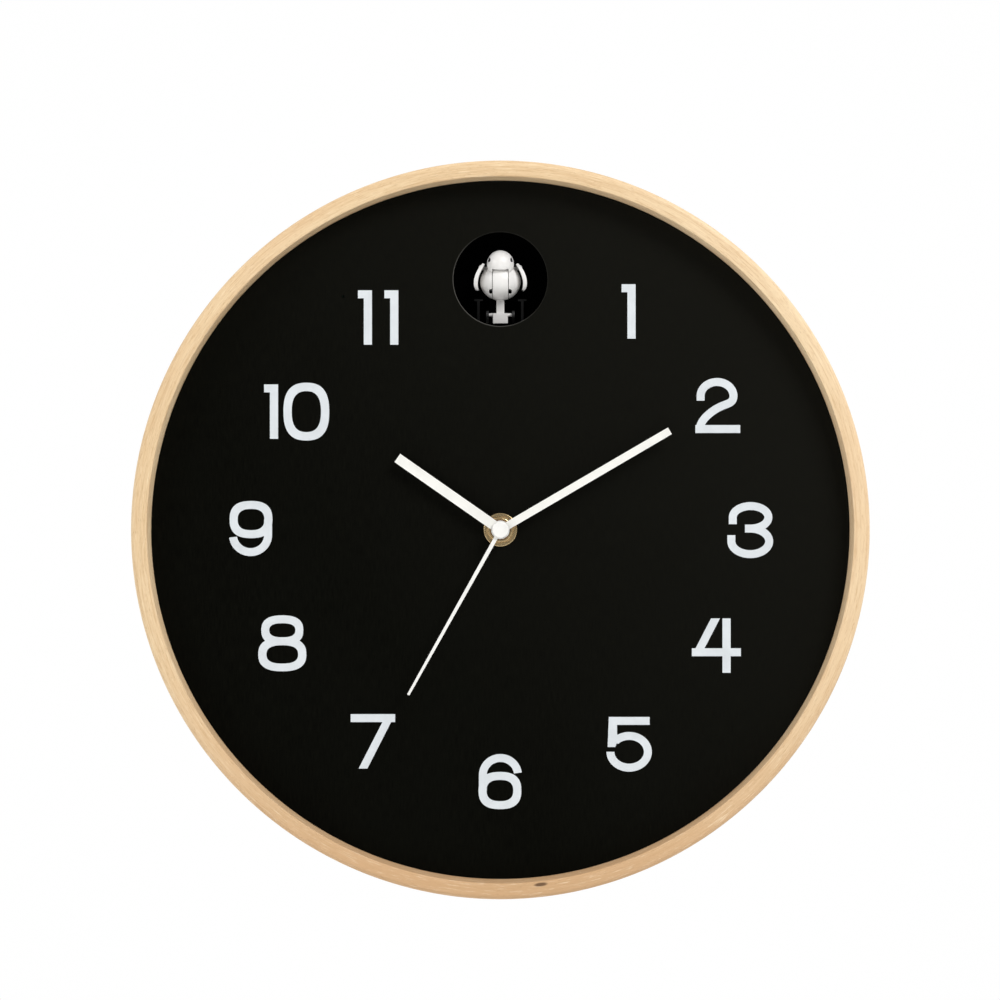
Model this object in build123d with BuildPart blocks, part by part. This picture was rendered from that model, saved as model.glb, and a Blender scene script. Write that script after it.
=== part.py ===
from build123d import *
import math
import os

os.makedirs("parts", exist_ok=True)

# Quartz cuckoo wall clock: bentwood hoop, black dial, three hands, a bird in a round window.
# Millimetres. The arbor of the hands is the Y axis, the wall is the plane y = 0 and the
# front faces -Y, so a "height" below is a distance in front of the wall.

# Case
CASE_RADIUS = 157.5
CASE_BORE = 149.6
CASE_DEPTH = 45.0
RIM_FRONT_ROUND = 2.2
RIM_BACK_ROUND = 0.8
BOARD_RADIUS = 149.4
PANEL_BACK = 2.0
PANEL_FRONT = 5.0
DIAL_BACK = 32.0
DIAL_FRONT = 35.0
INK = 0.15
BLOCK_COUNT = 6
BLOCK_RADIUS = 144.1
BLOCK_SIZE = (11.0, 24.0)
SCREW_CIRCLE = 143.5

# Cuckoo window and light sensor hole in the dial
WINDOW_Z = 107.4
WINDOW_RADIUS = 20.2
BIRD_Z = WINDOW_Z + 0.55
SENSOR = (-67.4, 99.9)
SENSOR_HOLE_RADIUS = 0.6

# Numerals
STROKE = 3.4
HALF_FIGURE = 11.65
OVAL_POINTS = 24
OVAL_POWER = 2.55

# Hands, degrees clockwise from twelve
HOUR_ANGLE = 304.9
MINUTE_ANGLE = 59.7
SECOND_ANGLE = 209.2
HOUR_LENGTH = 53.7
HOUR_WIDTH = 4.3
MINUTE_LENGTH = 83.8
MINUTE_WIDTH = 3.3
SECOND_LENGTH = 80.6
SECOND_WIDTHS = (1.7, 1.07)
CAP_RADIUS = 3.65
BLADE = 0.6

# Time movement, a 56 mm square case behind the dial
MOVEMENT_SIDE = 56.0
MOVEMENT_Z = -6.5
MOVEMENT_BACK = 15.0
COVER_FRONT = 17.0
WALL_BACK = 29.0
MOVEMENT_FRONT = 31.0
MOVEMENT_WALL = 1.5
ARBOR_BACK = 16.2
ARBOR_FRONT = 25.4
BRIDGE = (24.8, 25.6)
AA_RADIUS = 7.15
AA_LENGTH = 49.0
CELL_Z = -25.5
CELL_HEIGHT = 22.3
COIL_Z = 15.8
COIL_HEIGHT = 21.5

# Toothed wheels: addendum and dedendum in modules, tooth widths in parts of the pitch
ADDENDUM = 0.75
DEDENDUM = 1.1
FLANK = ((-DEDENDUM, 0.25), (0.0, 0.185), (ADDENDUM, 0.09))

# Cuckoo mechanism, boxed behind the window
FRAME_HALF = 25.0
FRAME_WALL = 1.6
FRAME_BOTTOM = 42.0
FRAME_TOP = 130.4
COVER_BACK = 30.4
ROD_X = 15.0
ROD_Z = 85.1
ROD_RADIUS = 1.0
AXIS_HEIGHT = 19.0
RACK_MODULE = 0.8
RACK_PINION = 16
GEAR_MODULE = 0.5
DRIVE_TEETH = 24
SMALL_TEETH = 10
REDUCTION_TEETH = 36
RACK_Z = 82.4
DRIVE_Z = RACK_Z - RACK_MODULE * RACK_PINION / 2
REDUCTION_Z = DRIVE_Z - GEAR_MODULE * (DRIVE_TEETH + SMALL_TEETH) / 2
MOTOR_Z = REDUCTION_Z - GEAR_MODULE * (REDUCTION_TEETH + SMALL_TEETH) / 2
TRUNNION_Z = BIRD_Z - 15.4
TRUNNION_HEIGHT = 22.0

# Sound unit, cells and controls
SPEAKER = (66.0, -38.0)
SPEAKER_RADIUS = 28.5
BOX = (-70.0, -30.0)
BOX_SIZE = (34.0, 60.0)
BOARD = (66.0, 42.0)
BOARD_SIZE = (46.0, 36.0)
BUTTON = (78.0, 48.0)
SLIDER = (58.0, 48.0)


def front(height):
    """Plane parallel to the wall: x across, y of the sketch upward, extruding toward the viewer."""
    return Plane.XZ.offset(height)


def across(x):
    """Plane across the clock at x: sketch x is the Y axis, so heights are drawn negative."""
    return Plane.YZ.offset(x)


def save(part, name):
    part.part.label = name
    export_step(part.part, f"parts/{name}.step")


def toothed_wheel(teeth, module, phase=0.0):
    """Fill the current sketch with a toothed wheel that has a tooth at the angle phase."""
    pitch_radius = teeth * module / 2
    half_tooth = [(pitch_radius + rise * module, -share) for rise, share in FLANK]
    tooth = half_tooth + [(radius, -share) for radius, share in reversed(half_tooth)]
    points = []
    for number in range(teeth):
        for radius, share in tooth:
            turn = math.radians(phase + 360 / teeth * (number + share))
            points.append((radius * math.cos(turn), radius * math.sin(turn)))
    with BuildLine() as outline:
        Polyline(*points, close=True)
    make_face(outline.edges())


def meshing_phase(place, teeth, other_place, other_teeth, other_phase):
    """Phase that puts a wheel's teeth into the gaps of the wheel it meshes with."""
    toward = math.degrees(math.atan2(other_place[1] - place[1], other_place[0] - place[0]))
    other_offset = (other_phase - toward - 180) * other_teeth
    return toward + (180 - other_offset) / teeth


def polar(start, distance, angle):
    turn = math.radians(angle)
    return (start[0] + distance * math.cos(turn), start[1] + distance * math.sin(turn))


def disc(height, radius, top, place=(0, 0), mode=Mode.ADD):
    """Round disc or pin along Y in the current part, from height to top."""
    with BuildSketch(front(height)) as outline:
        with Locations(place):
            Circle(radius)
    extrude(outline.sketch, amount=top - height, mode=mode)


def wheel(height, thickness, teeth, module, phase, place):
    """Toothed wheel in the current part, its back face at height."""
    with BuildSketch(front(height).move(Location((place[0], place[1], 0)))) as outline:
        toothed_wheel(teeth, module, phase)
    extrude(outline.sketch, amount=thickness)


def pierce(height, radius, top, places):
    """Cut the same round hole at each place of the current part."""
    with BuildSketch(front(height)) as holes:
        with Locations(*places):
            Circle(radius)
    extrude(holes.sketch, amount=top - height, mode=Mode.SUBTRACT)


# ---------------------------------------------------------------- case
with BuildPart() as rim_hoop:
    with BuildSketch(front(0)):
        Circle(CASE_RADIUS)
        Circle(CASE_BORE, mode=Mode.SUBTRACT)
    extrude(amount=CASE_DEPTH)
    fillet(rim_hoop.edges().group_by(Axis.Y)[0], RIM_FRONT_ROUND)
    fillet(rim_hoop.edges().group_by(Axis.Y)[-1], RIM_BACK_ROUND)
save(rim_hoop, "rim_hoop")

with BuildPart() as dial_panel:
    with BuildSketch(front(DIAL_BACK)):
        Circle(BOARD_RADIUS)
        Circle(4.1, mode=Mode.SUBTRACT)
        with Locations((0, WINDOW_Z)):
            Circle(WINDOW_RADIUS, mode=Mode.SUBTRACT)
        with Locations(SENSOR):
            Circle(SENSOR_HOLE_RADIUS, mode=Mode.SUBTRACT)
    extrude(amount=DIAL_FRONT - DIAL_BACK)
    window_edges = dial_panel.edges().filter_by(GeomType.CIRCLE).group_by(Axis.Y)[0]
    chamfer(window_edges.filter_by(lambda edge: abs(edge.radius - WINDOW_RADIUS) < 0.01), 0.35)
save(dial_panel, "dial_panel")


# ---------------------------------------------------------------- numerals
def traced(curve):
    """Stroke of the numerals' constant width along a line."""
    trace(curve.line, STROKE)


def oval(rise, width, height, mode=Mode.ADD):
    """Closed curve a little squarer than an ellipse, raised above the middle of the figure."""
    points = []
    for step in range(OVAL_POINTS):
        turn = 2 * math.pi * (step + 0.5) / OVAL_POINTS
        along, up = math.cos(turn), math.sin(turn)
        x = width / 2 * math.copysign(abs(along) ** (2 / OVAL_POWER), along)
        y = rise + height / 2 * math.copysign(abs(up) ** (2 / OVAL_POWER), up)
        points.append((x, y))
    with BuildLine() as outline:
        Spline(*points, periodic=True)
    make_face(outline.edges(), mode=mode)


def figure_one():
    with BuildSketch(mode=Mode.PRIVATE) as figure:
        with Locations((1.15, 0)):
            Rectangle(3.5, 2 * HALF_FIGURE)
        with Locations((-0.1, HALF_FIGURE - STROKE / 2)):
            Rectangle(6.0, STROKE)
    return figure.sketch


def figure_two():
    with BuildLine(mode=Mode.PRIVATE) as bowl:
        Line((-7.46, 2.2), (-7.46, 4.2))
        EllipticalCenterArc((-0.43, 4.2), 7.04, 6.0, start_angle=0, arc_size=180)
        Spline((6.61, 4.2), (2.4, 0.2), (-3.6, -3.3), (-7.9, -9.9), tangents=((0, -1), (-0.15, -1)))
    with BuildSketch(mode=Mode.PRIVATE) as figure:
        traced(bowl)
        with Locations((-0.1, STROKE / 2 - HALF_FIGURE)):
            Rectangle(19.2, STROKE)
    return figure.sketch


def figure_three():
    with BuildLine(mode=Mode.PRIVATE) as upper:
        Line((-7.48, 2.6), (-7.48, 5.54))
        EllipticalCenterArc((0.14, 5.54), 7.62, 4.82, start_angle=-90, arc_size=270)
        Line((0.14, 0.72), (-2.26, 0.72))
    with BuildLine(mode=Mode.PRIVATE) as lower:
        EllipticalCenterArc((0, -4.76), 8.1, 5.48, start_angle=-180, arc_size=270)
        Line((-8.1, -4.76), (-8.1, -2.1))
    with BuildSketch(mode=Mode.PRIVATE) as figure:
        traced(upper)
        traced(lower)
    return figure.sketch


def figure_four():
    with BuildSketch(mode=Mode.PRIVATE) as figure:
        with Locations((4.14, 0)):
            Rectangle(3.5, 2 * HALF_FIGURE)
        with Locations((-0.2, -2.84)):
            Rectangle(21.0, STROKE)
        Polygon((-2.5, HALF_FIGURE), (1.32, HALF_FIGURE), (-5.29, -1.15), (-7.0, -4.5),
                (-10.7, -4.5), (-10.7, -4.2), align=None)
    return figure.sketch


def figure_five():
    with BuildLine(mode=Mode.PRIVATE) as bowl:
        EllipticalCenterArc((0.13, -3.28), 8.02, 6.8, start_angle=-180, arc_size=318)
    with BuildSketch(mode=Mode.PRIVATE) as figure:
        traced(bowl)
        with Locations((0.17, HALF_FIGURE - STROKE / 2)):
            Rectangle(17.5, STROKE)
        Polygon((-8.57, HALF_FIGURE), (-5.1, HALF_FIGURE), (-4.95, 0.9), (-5.84, -1.24),
                (-9.08, -1.24), align=None)
    return figure.sketch


def figure_six():
    with BuildLine(mode=Mode.PRIVATE) as hook:
        EllipticalCenterArc((0.2, 2.77), 7.52, 7.3, start_angle=7, arc_size=173)
        Line((-7.32, 2.77), (-7.32, -3.9))
    with BuildSketch(mode=Mode.PRIVATE) as figure:
        oval(-3.87, 18.3, 15.9)
        oval(-3.87, 11.4, 9.1, Mode.SUBTRACT)
        traced(hook)
    return figure.sketch


def figure_seven():
    with BuildSketch(mode=Mode.PRIVATE) as figure:
        with Locations((0, HALF_FIGURE - STROKE / 2)):
            Rectangle(19.06, STROKE)
        Polygon((4.11, 8.3), (-6.12, -HALF_FIGURE), (-2.37, -HALF_FIGURE), (9.53, HALF_FIGURE),
                (5.8, HALF_FIGURE), align=None)
    return figure.sketch


def figure_eight():
    with BuildSketch(mode=Mode.PRIVATE) as figure:
        oval(5.55, 17.94, 12.78)
        oval(-4.75, 20.56, 14.48)
        oval(5.57, 11.16, 6.0, Mode.SUBTRACT)
        oval(-4.78, 13.56, 7.86, Mode.SUBTRACT)
    return figure.sketch


def figure_zero():
    with BuildSketch(mode=Mode.PRIVATE) as figure:
        oval(0, 19.6, 24.7)
        oval(0, 12.5, 17.5, Mode.SUBTRACT)
    return figure.sketch


NUMERALS = (
    (figure_one, 55.0, 93.5, 0),
    (figure_two, 93.2, 53.1, 0),
    (figure_three, 107.0, -0.2, 0),
    (figure_four, 92.7, -49.6, 0),
    (figure_five, 55.0, -91.8, 0),
    (figure_six, -0.2, -107.8, 0),
    (figure_seven, -54.6, -90.6, 0),
    (figure_eight, -93.4, -48.6, 0),
    (figure_six, -106.8, 0.5, 180),
    (figure_one, -98.1, 50.6, 0),
    (figure_zero, -83.1, 50.6, 0),
    (figure_one, -57.9, 90.9, 0),
    (figure_one, -46.6, 90.9, 0),
)

with BuildPart() as dial_numerals:
    with BuildSketch(front(DIAL_FRONT)):
        for draw, x, z, turn in NUMERALS:
            with Locations(Location((x, z, 0), (0, 0, turn))):
                add(draw())
    extrude(amount=INK)
save(dial_numerals, "dial_numerals")

# ---------------------------------------------------------------- back of the case
SCREW_HEAD = 3.0
SCREW_SHANK = 1.5
SCREW_LENGTH = 12.0
SLOT_COUNT = 7
BLOCK_SCREWS = [polar((0, 0), SCREW_CIRCLE, 360 / BLOCK_COUNT * n) for n in range(BLOCK_COUNT)]
FRAME_SCREWS = [(x, z) for x in (-20.5, 20.5) for z in (47.0, 124.0)]

with BuildPart() as back_blocks:
    with BuildSketch(front(PANEL_FRONT)):
        with PolarLocations(BLOCK_RADIUS, BLOCK_COUNT):
            Rectangle(*BLOCK_SIZE)
        Circle(CASE_BORE, mode=Mode.INTERSECT)
    extrude(amount=DIAL_BACK - PANEL_FRONT)
    pierce(PANEL_FRONT, SCREW_SHANK + 0.02, SCREW_LENGTH + 4, BLOCK_SCREWS)
save(back_blocks, "back_blocks")


def countersunk(radius, places, mode=Mode.ADD):
    """Cones of the screw heads, narrowing from the back of the panel."""
    with BuildSketch(front(PANEL_BACK)) as heads:
        with Locations(*places):
            Circle(radius)
    extrude(heads.sketch, amount=SCREW_SHANK, taper=45, mode=mode)


HANGER_Z = 139.0
KEYHOLE_Z = 136.4
KEYHOLE_RADIUS = 4.5
RIVETS = [(-14.5, HANGER_Z), (14.5, HANGER_Z)]

with BuildPart() as back_panel:
    with BuildSketch(front(PANEL_BACK)):
        Circle(BOARD_RADIUS)
        with Locations((0, MOVEMENT_Z)):
            RectangleRounded(MOVEMENT_SIDE + 4, MOVEMENT_SIDE + 4, 4, mode=Mode.SUBTRACT)
        with Locations(BOX):
            RectangleRounded(BOX_SIZE[0] + 1, BOX_SIZE[1] + 1, 2, mode=Mode.SUBTRACT)
        with Locations(SPEAKER):
            with GridLocations(0, 6, 1, SLOT_COUNT):
                SlotOverall(38, 2.4, mode=Mode.SUBTRACT)
        with Locations(BUTTON):
            Circle(3.2, mode=Mode.SUBTRACT)
        with Locations(SLIDER):
            SlotOverall(18, 4.4, mode=Mode.SUBTRACT)
        with Locations((0, KEYHOLE_Z + 2.6)):
            RectangleRounded(12, 15, 5, mode=Mode.SUBTRACT)
        with Locations(*RIVETS):
            Circle(1.52, mode=Mode.SUBTRACT)
    extrude(amount=PANEL_FRONT - PANEL_BACK)
    pierce(PANEL_BACK, SCREW_SHANK + 0.1, PANEL_FRONT, BLOCK_SCREWS + FRAME_SCREWS)
    countersunk(SCREW_HEAD + 0.05, BLOCK_SCREWS + FRAME_SCREWS, Mode.SUBTRACT)
save(back_panel, "back_panel")


def wood_screws(places):
    """Countersunk screws with a cross recess, driven through the back panel."""
    with BuildPart() as screws:
        countersunk(SCREW_HEAD, places)
        with BuildSketch(front(PANEL_BACK + SCREW_SHANK - 0.2)) as shanks:
            with Locations(*places):
                Circle(SCREW_SHANK)
        extrude(shanks.sketch, amount=SCREW_LENGTH - SCREW_SHANK)
        with BuildSketch(front(PANEL_BACK)) as crosses:
            with Locations(*places):
                Rectangle(3.4, 0.7)
                Rectangle(0.7, 3.4)
        extrude(crosses.sketch, amount=0.9, mode=Mode.SUBTRACT)
    return screws


panel_screws = wood_screws(BLOCK_SCREWS)
save(panel_screws, "panel_screws")
mechanism_screws = wood_screws(FRAME_SCREWS)
save(mechanism_screws, "mechanism_screws")

with BuildPart() as hanger_plate:
    with BuildSketch(front(0.8)):
        with Locations((0, HANGER_Z)):
            RectangleRounded(38, 15.6, 3)
        with Locations((0, KEYHOLE_Z)):
            Circle(KEYHOLE_RADIUS, mode=Mode.SUBTRACT)
            with Locations((0, 3)):
                SlotCenterToCenter(6, 4.4, rotation=90, mode=Mode.SUBTRACT)
        with Locations(*RIVETS):
            Circle(1.52, mode=Mode.SUBTRACT)
    extrude(amount=PANEL_BACK - 0.8)
save(hanger_plate, "hanger_plate")

with BuildPart() as hanger_rivets:
    for place in RIVETS:
        disc(0.1, 2.8, 0.8, place)
        disc(0.8, 1.5, PANEL_FRONT, place)
        disc(PANEL_FRONT, 2.6, PANEL_FRONT + 0.7, place)
    fillet(hanger_rivets.edges().group_by(Axis.Y)[-1], 0.5)
save(hanger_rivets, "hanger_rivets")

# ---------------------------------------------------------------- time movement case
INTERMEDIATE = polar((0, 0), 10.5, 15)
ROTOR = polar(INTERMEDIATE, 9.0, 0)
THIRD = polar((0, 0), 10.2, 200)
MOTION = polar((0, 0), 10.8, 120)
KNOB = polar(MOTION, 12.15, 180)
POSTS = [(-20.5, -10.5), (17.0, -8.0), (9.5, 11.2)]
MOVEMENT_CENTRE = (0, MOVEMENT_Z)
INNER_SIDE = MOVEMENT_SIDE - 2 * MOVEMENT_WALL

with BuildPart() as movement_base:
    with BuildSketch(front(COVER_FRONT)):
        with Locations(MOVEMENT_CENTRE):
            RectangleRounded(MOVEMENT_SIDE, MOVEMENT_SIDE, 3)
    extrude(amount=MOVEMENT_FRONT - COVER_FRONT)
    fillet(movement_base.edges().group_by(Axis.Y)[0], 1.0)
    with BuildSketch(front(COVER_FRONT)):
        with Locations(MOVEMENT_CENTRE):
            RectangleRounded(INNER_SIDE, INNER_SIDE, 1.5)
        with Locations((0, -17.4)):
            Rectangle(INNER_SIDE + 1, 1.0, mode=Mode.SUBTRACT)
    extrude(amount=WALL_BACK - COVER_FRONT, mode=Mode.SUBTRACT)
    with BuildSketch(front(WALL_BACK)):
        with Locations((0, CELL_Z)):
            Rectangle(INNER_SIDE, 15)
    extrude(amount=0.8, mode=Mode.SUBTRACT)
    for place in POSTS:
        disc(BRIDGE[1], 1.6, WALL_BACK, place)
        disc(BRIDGE[0] - 0.3, 0.8, BRIDGE[1], place)
    disc(23.0, 1.2, WALL_BACK, (23.5, -13.0))
    pierce(WALL_BACK, 4.02, MOVEMENT_FRONT, [(0, 0)])
    pierce(WALL_BACK, 0.65, WALL_BACK + 1.0, [MOTION])
    pierce(WALL_BACK, 0.85, WALL_BACK + 1.0, [KNOB])
save(movement_base, "movement_base")

with BuildPart() as movement_cover:
    with BuildSketch(front(MOVEMENT_BACK)):
        with Locations(MOVEMENT_CENTRE):
            RectangleRounded(MOVEMENT_SIDE, MOVEMENT_SIDE, 3)
        with Locations((0, CELL_Z)):
            RectangleRounded(INNER_SIDE, 14.8, 2, mode=Mode.SUBTRACT)
    extrude(amount=COVER_FRONT - MOVEMENT_BACK)
    fillet(movement_cover.edges().group_by(Axis.Y)[-1].group_by(Axis.Z)[-1], 0.8)
    with BuildSketch(front(COVER_FRONT)):
        with Locations((0, 1.2)):
            Rectangle(INNER_SIDE - 0.3, 35.0)
            Rectangle(INNER_SIDE - 2.3, 33.0, mode=Mode.SUBTRACT)
    extrude(amount=1.0)
    pierce(MOVEMENT_BACK, 1.35, COVER_FRONT, [KNOB])
    pierce(ARBOR_BACK - 0.2, 0.62, COVER_FRONT, [(0, 0)])
    pierce(ARBOR_BACK - 0.2, 0.4, COVER_FRONT, [INTERMEDIATE, ROTOR, THIRD])
save(movement_cover, "movement_cover")

with BuildPart() as train_bridge:
    with BuildSketch(front(BRIDGE[0])):
        Polygon((-22.5, -13), (20, -11), (22.5, -4), (22.5, 7), (14, 12.2), (3, 12.2), (-2, 17),
                (-12, 17), (-22.5, 14), align=None)
        with Locations(*POSTS):
            Circle(0.83, mode=Mode.SUBTRACT)
        Circle(1.7, mode=Mode.SUBTRACT)
        with Locations(MOTION):
            Circle(0.65, mode=Mode.SUBTRACT)
        with Locations(KNOB):
            Circle(1.28, mode=Mode.SUBTRACT)
        with Locations(INTERMEDIATE, ROTOR, THIRD):
            Circle(0.4, mode=Mode.SUBTRACT)
    extrude(amount=BRIDGE[1] - BRIDGE[0])
save(train_bridge, "train_bridge")

BUSH_RADIUS = 3.95
BUSH_BORE = 2.58
BUSH_TOP = 37.6
THREAD_START = 31.2
THREAD_PITCH = 0.75
THREAD_DEPTH = 0.35
THREAD_TURNS = int((BUSH_TOP - THREAD_START - 0.3) / THREAD_PITCH)

with BuildPart() as threaded_bush:
    disc(28.3, 5.6, WALL_BACK)
    disc(WALL_BACK, BUSH_RADIUS, BUSH_TOP)
    chamfer(threaded_bush.edges().group_by(Axis.Y)[0], 0.3)
    pierce(28.3, BUSH_BORE, BUSH_TOP, [(0, 0)])
    with BuildSketch(Plane.XY):
        for turn in range(THREAD_TURNS):
            with Locations((BUSH_RADIUS, -THREAD_START - THREAD_PITCH * turn)):
                Polygon((0.1, 0.3), (0.1, -0.3), (-THREAD_DEPTH, 0), align=None)
    revolve(axis=Axis.Y, mode=Mode.SUBTRACT)
save(threaded_bush, "threaded_bush")

with BuildPart() as gasket_washer:
    disc(MOVEMENT_FRONT, 10.0, DIAL_BACK)
    pierce(MOVEMENT_FRONT, 4.1, DIAL_BACK, [(0, 0)])
save(gasket_washer, "gasket_washer")

with BuildPart() as dial_washer:
    disc(DIAL_FRONT, 7.15, DIAL_FRONT + 0.6)
    fillet(dial_washer.edges().group_by(Axis.Y)[0], 0.25)
    pierce(DIAL_FRONT, 4.05, DIAL_FRONT + 0.6, [(0, 0)])
save(dial_washer, "dial_washer")

NUT_BACK = DIAL_FRONT + 0.6
NUT_FRONT = 37.9
with BuildPart() as hand_nut:
    with BuildSketch(front(NUT_BACK)):
        RegularPolygon(5.5, 6, major_radius=False, rotation=8)
    extrude(amount=NUT_FRONT - NUT_BACK)
    with BuildSketch(Plane.XY):
        Polygon((0, -NUT_BACK), (6.4, -NUT_BACK), (6.4, -NUT_BACK - 0.9), (5.0, -NUT_FRONT),
                (0, -NUT_FRONT), align=None)
    revolve(axis=Axis.Y, mode=Mode.INTERSECT)
    pierce(NUT_BACK, BUSH_RADIUS + 0.03, NUT_FRONT, [(0, 0)])
    chamfer(hand_nut.edges().filter_by(GeomType.CIRCLE).group_by(Axis.Y)[0].sort_by(SortBy.RADIUS)[0], 0.4)
save(hand_nut, "hand_nut")

# ---------------------------------------------------------------- stepping motor and circuit
COIL_START = 7.0
COIL_END = 22.5
FLANGE = 0.8


def along_x(start, radius, end, place, mode=Mode.ADD):
    """Round bar along X in the current part; place is (height, z)."""
    with BuildSketch(across(start)) as outline:
        with Locations((-place[0], place[1])):
            Circle(radius)
    extrude(outline.sketch, amount=end - start, mode=mode)


COIL = (COIL_HEIGHT, COIL_Z)
with BuildPart() as coil_bobbin:
    along_x(COIL_START, 1.9, COIL_END, COIL)
    along_x(COIL_START, 3.2, COIL_START + FLANGE, COIL)
    along_x(COIL_END - FLANGE, 3.2, COIL_END, COIL)
    with BuildSketch(across(COIL_START)):
        with Locations((-COIL_HEIGHT, COIL_Z)):
            Rectangle(1.1, 2.1)
    extrude(amount=COIL_END - COIL_START, mode=Mode.SUBTRACT)
save(coil_bobbin, "coil_bobbin")

with BuildPart() as coil_winding:
    along_x(COIL_START + FLANGE, 2.9, COIL_END - FLANGE, COIL)
    along_x(COIL_START + FLANGE, 1.92, COIL_END - FLANGE, COIL, Mode.SUBTRACT)
save(coil_winding, "coil_winding")

with BuildPart() as stator_plate:
    with BuildSketch(front(COIL_HEIGHT - 0.5)):
        with Locations((14.7, COIL_Z)):
            Rectangle(20.8, 2.0)
    extrude(amount=1.0)
    with BuildSketch(front(COIL_HEIGHT + 0.5)):
        with Locations((14.7, 2.7)):
            Rectangle(20.8, 8.6)
        with Locations((5.3, 11.2), (24.1, 11.2)):
            Rectangle(2.0, 11.2)
        with Locations(ROTOR):
            Circle(3.1, mode=Mode.SUBTRACT)
            with Locations((0, 3.4), (0, -3.4)):
                Rectangle(0.6, 1.4, mode=Mode.SUBTRACT)
        with Locations(INTERMEDIATE):
            Circle(1.2, mode=Mode.SUBTRACT)
    extrude(amount=1.0)
save(stator_plate, "stator_plate")

with BuildPart() as movement_board:
    with BuildSketch(front(22.0)):
        with Locations((17.5, -13.2)):
            RectangleRounded(16.5, 6.4, 0.6)
    extrude(amount=1.0)
    with BuildSketch(front(21.2)):
        with Locations((20.6, -13.2)):
            Circle(2.0)
    extrude(amount=0.8)
save(movement_board, "movement_board")

with BuildPart() as quartz_crystal:
    along_x(10.6, 1.0, 16.6, (20.98, -13.2))
    fillet(quartz_crystal.edges().group_by(Axis.X)[-1], 0.4)
save(quartz_crystal, "quartz_crystal")

with BuildPart() as movement_battery:
    along_x(-AA_LENGTH / 2 - 0.2, AA_RADIUS, AA_LENGTH / 2 - 0.2, (CELL_HEIGHT, CELL_Z))
    fillet(movement_battery.edges().filter_by(GeomType.CIRCLE), 0.6)
    along_x(AA_LENGTH / 2 - 0.2, 2.7, AA_LENGTH / 2 + 0.9, (CELL_HEIGHT, CELL_Z))
save(movement_battery, "movement_battery")

CONTACT_X = INNER_SIDE / 2
with BuildPart() as movement_contacts:
    for start in (-CONTACT_X, CONTACT_X - 0.4):
        with BuildSketch(across(start)) as leaf:
            with Locations((-CELL_HEIGHT, CELL_Z)):
                RectangleRounded(9, 10, 1)
        extrude(leaf.sketch, amount=0.4)
    along_x(-CONTACT_X + 0.4, 3.0, -CONTACT_X + 1.2, (CELL_HEIGHT, CELL_Z))
    along_x(-CONTACT_X + 1.2, 1.8, -AA_LENGTH / 2 - 0.22, (CELL_HEIGHT, CELL_Z))
    along_x(AA_LENGTH / 2 + 0.92, 1.5, CONTACT_X - 0.4, (CELL_HEIGHT, CELL_Z))
save(movement_contacts, "movement_contacts")

# ---------------------------------------------------------------- wheels of the time train
ROTOR_TEETH = 12
INTERMEDIATE_TEETH = 60
INTERMEDIATE_PINION = 10
SECONDS_TEETH = 60
SECONDS_PINION = 8
THIRD_TEETH = 60
THIRD_PINION = 8
CENTRE_TEETH = 64
CANNON_TEETH = 12
MOTION_TEETH = 36
MOTION_PINION = 10
HOUR_TEETH = 40
KNOB_TEETH = 18
ROTOR_MODULE = 0.25
SECONDS_MODULE = 0.3
THIRD_MODULE = 0.3
CENTRE_MODULE = 20.4 / (THIRD_PINION + CENTRE_TEETH)
MOTION_MODULE = 0.45
HOUR_MODULE = 21.6 / (MOTION_PINION + HOUR_TEETH)

with BuildPart() as centre_wheel:
    wheel(23.5, 0.8, CENTRE_TEETH, CENTRE_MODULE, 0, (0, 0))
    wheel(25.9, 1.2, CANNON_TEETH, MOTION_MODULE, 0, (0, 0))
    disc(23.3, 1.6, 41.0)
    pierce(23.0, 0.62, 42.0, [(0, 0)])
save(centre_wheel, "centre_wheel")

with BuildPart() as seconds_wheel:
    wheel(18.8, 0.8, SECONDS_TEETH, SECONDS_MODULE, 0, (0, 0))
    wheel(21.9, 1.0, SECONDS_PINION, THIRD_MODULE, 0, (0, 0))
    disc(ARBOR_BACK, 0.55, 43.4)
    disc(19.6, 1.0, 20.6)
save(seconds_wheel, "seconds_wheel")

with BuildPart() as third_wheel:
    phase = meshing_phase(THIRD, THIRD_TEETH, (0, 0), SECONDS_PINION, 0)
    wheel(22.0, 0.8, THIRD_TEETH, THIRD_MODULE, phase, THIRD)
    phase = meshing_phase(THIRD, THIRD_PINION, (0, 0), CENTRE_TEETH, 0)
    wheel(22.8, 1.6, THIRD_PINION, CENTRE_MODULE, phase, THIRD)
    disc(ARBOR_BACK, 0.35, ARBOR_FRONT, THIRD)
save(third_wheel, "third_wheel")

with BuildPart() as intermediate_wheel:
    phase = meshing_phase(INTERMEDIATE, INTERMEDIATE_PINION, (0, 0), SECONDS_TEETH, 0)
    wheel(18.6, 1.8, INTERMEDIATE_PINION, SECONDS_MODULE, phase, INTERMEDIATE)
    wheel(20.4, 0.8, INTERMEDIATE_TEETH, ROTOR_MODULE, 0, INTERMEDIATE)
    disc(ARBOR_BACK, 0.35, ARBOR_FRONT, INTERMEDIATE)
save(intermediate_wheel, "intermediate_wheel")

with BuildPart() as rotor:
    phase = meshing_phase(ROTOR, ROTOR_TEETH, INTERMEDIATE, INTERMEDIATE_TEETH, 0)
    wheel(20.2, 1.4, ROTOR_TEETH, ROTOR_MODULE, phase, ROTOR)
    disc(21.6, 2.6, 23.2, ROTOR)
    disc(ARBOR_BACK, 0.35, ARBOR_FRONT, ROTOR)
save(rotor, "rotor")

with BuildPart() as motion_wheel:
    motion_phase = meshing_phase(MOTION, MOTION_TEETH, (0, 0), CANNON_TEETH, 0)
    wheel(26.0, 0.9, MOTION_TEETH, MOTION_MODULE, motion_phase, MOTION)
    wheel(26.9, 1.3, MOTION_PINION, HOUR_MODULE, 0, MOTION)
    disc(25.0, 0.6, 29.8, MOTION)
save(motion_wheel, "motion_wheel")

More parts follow.
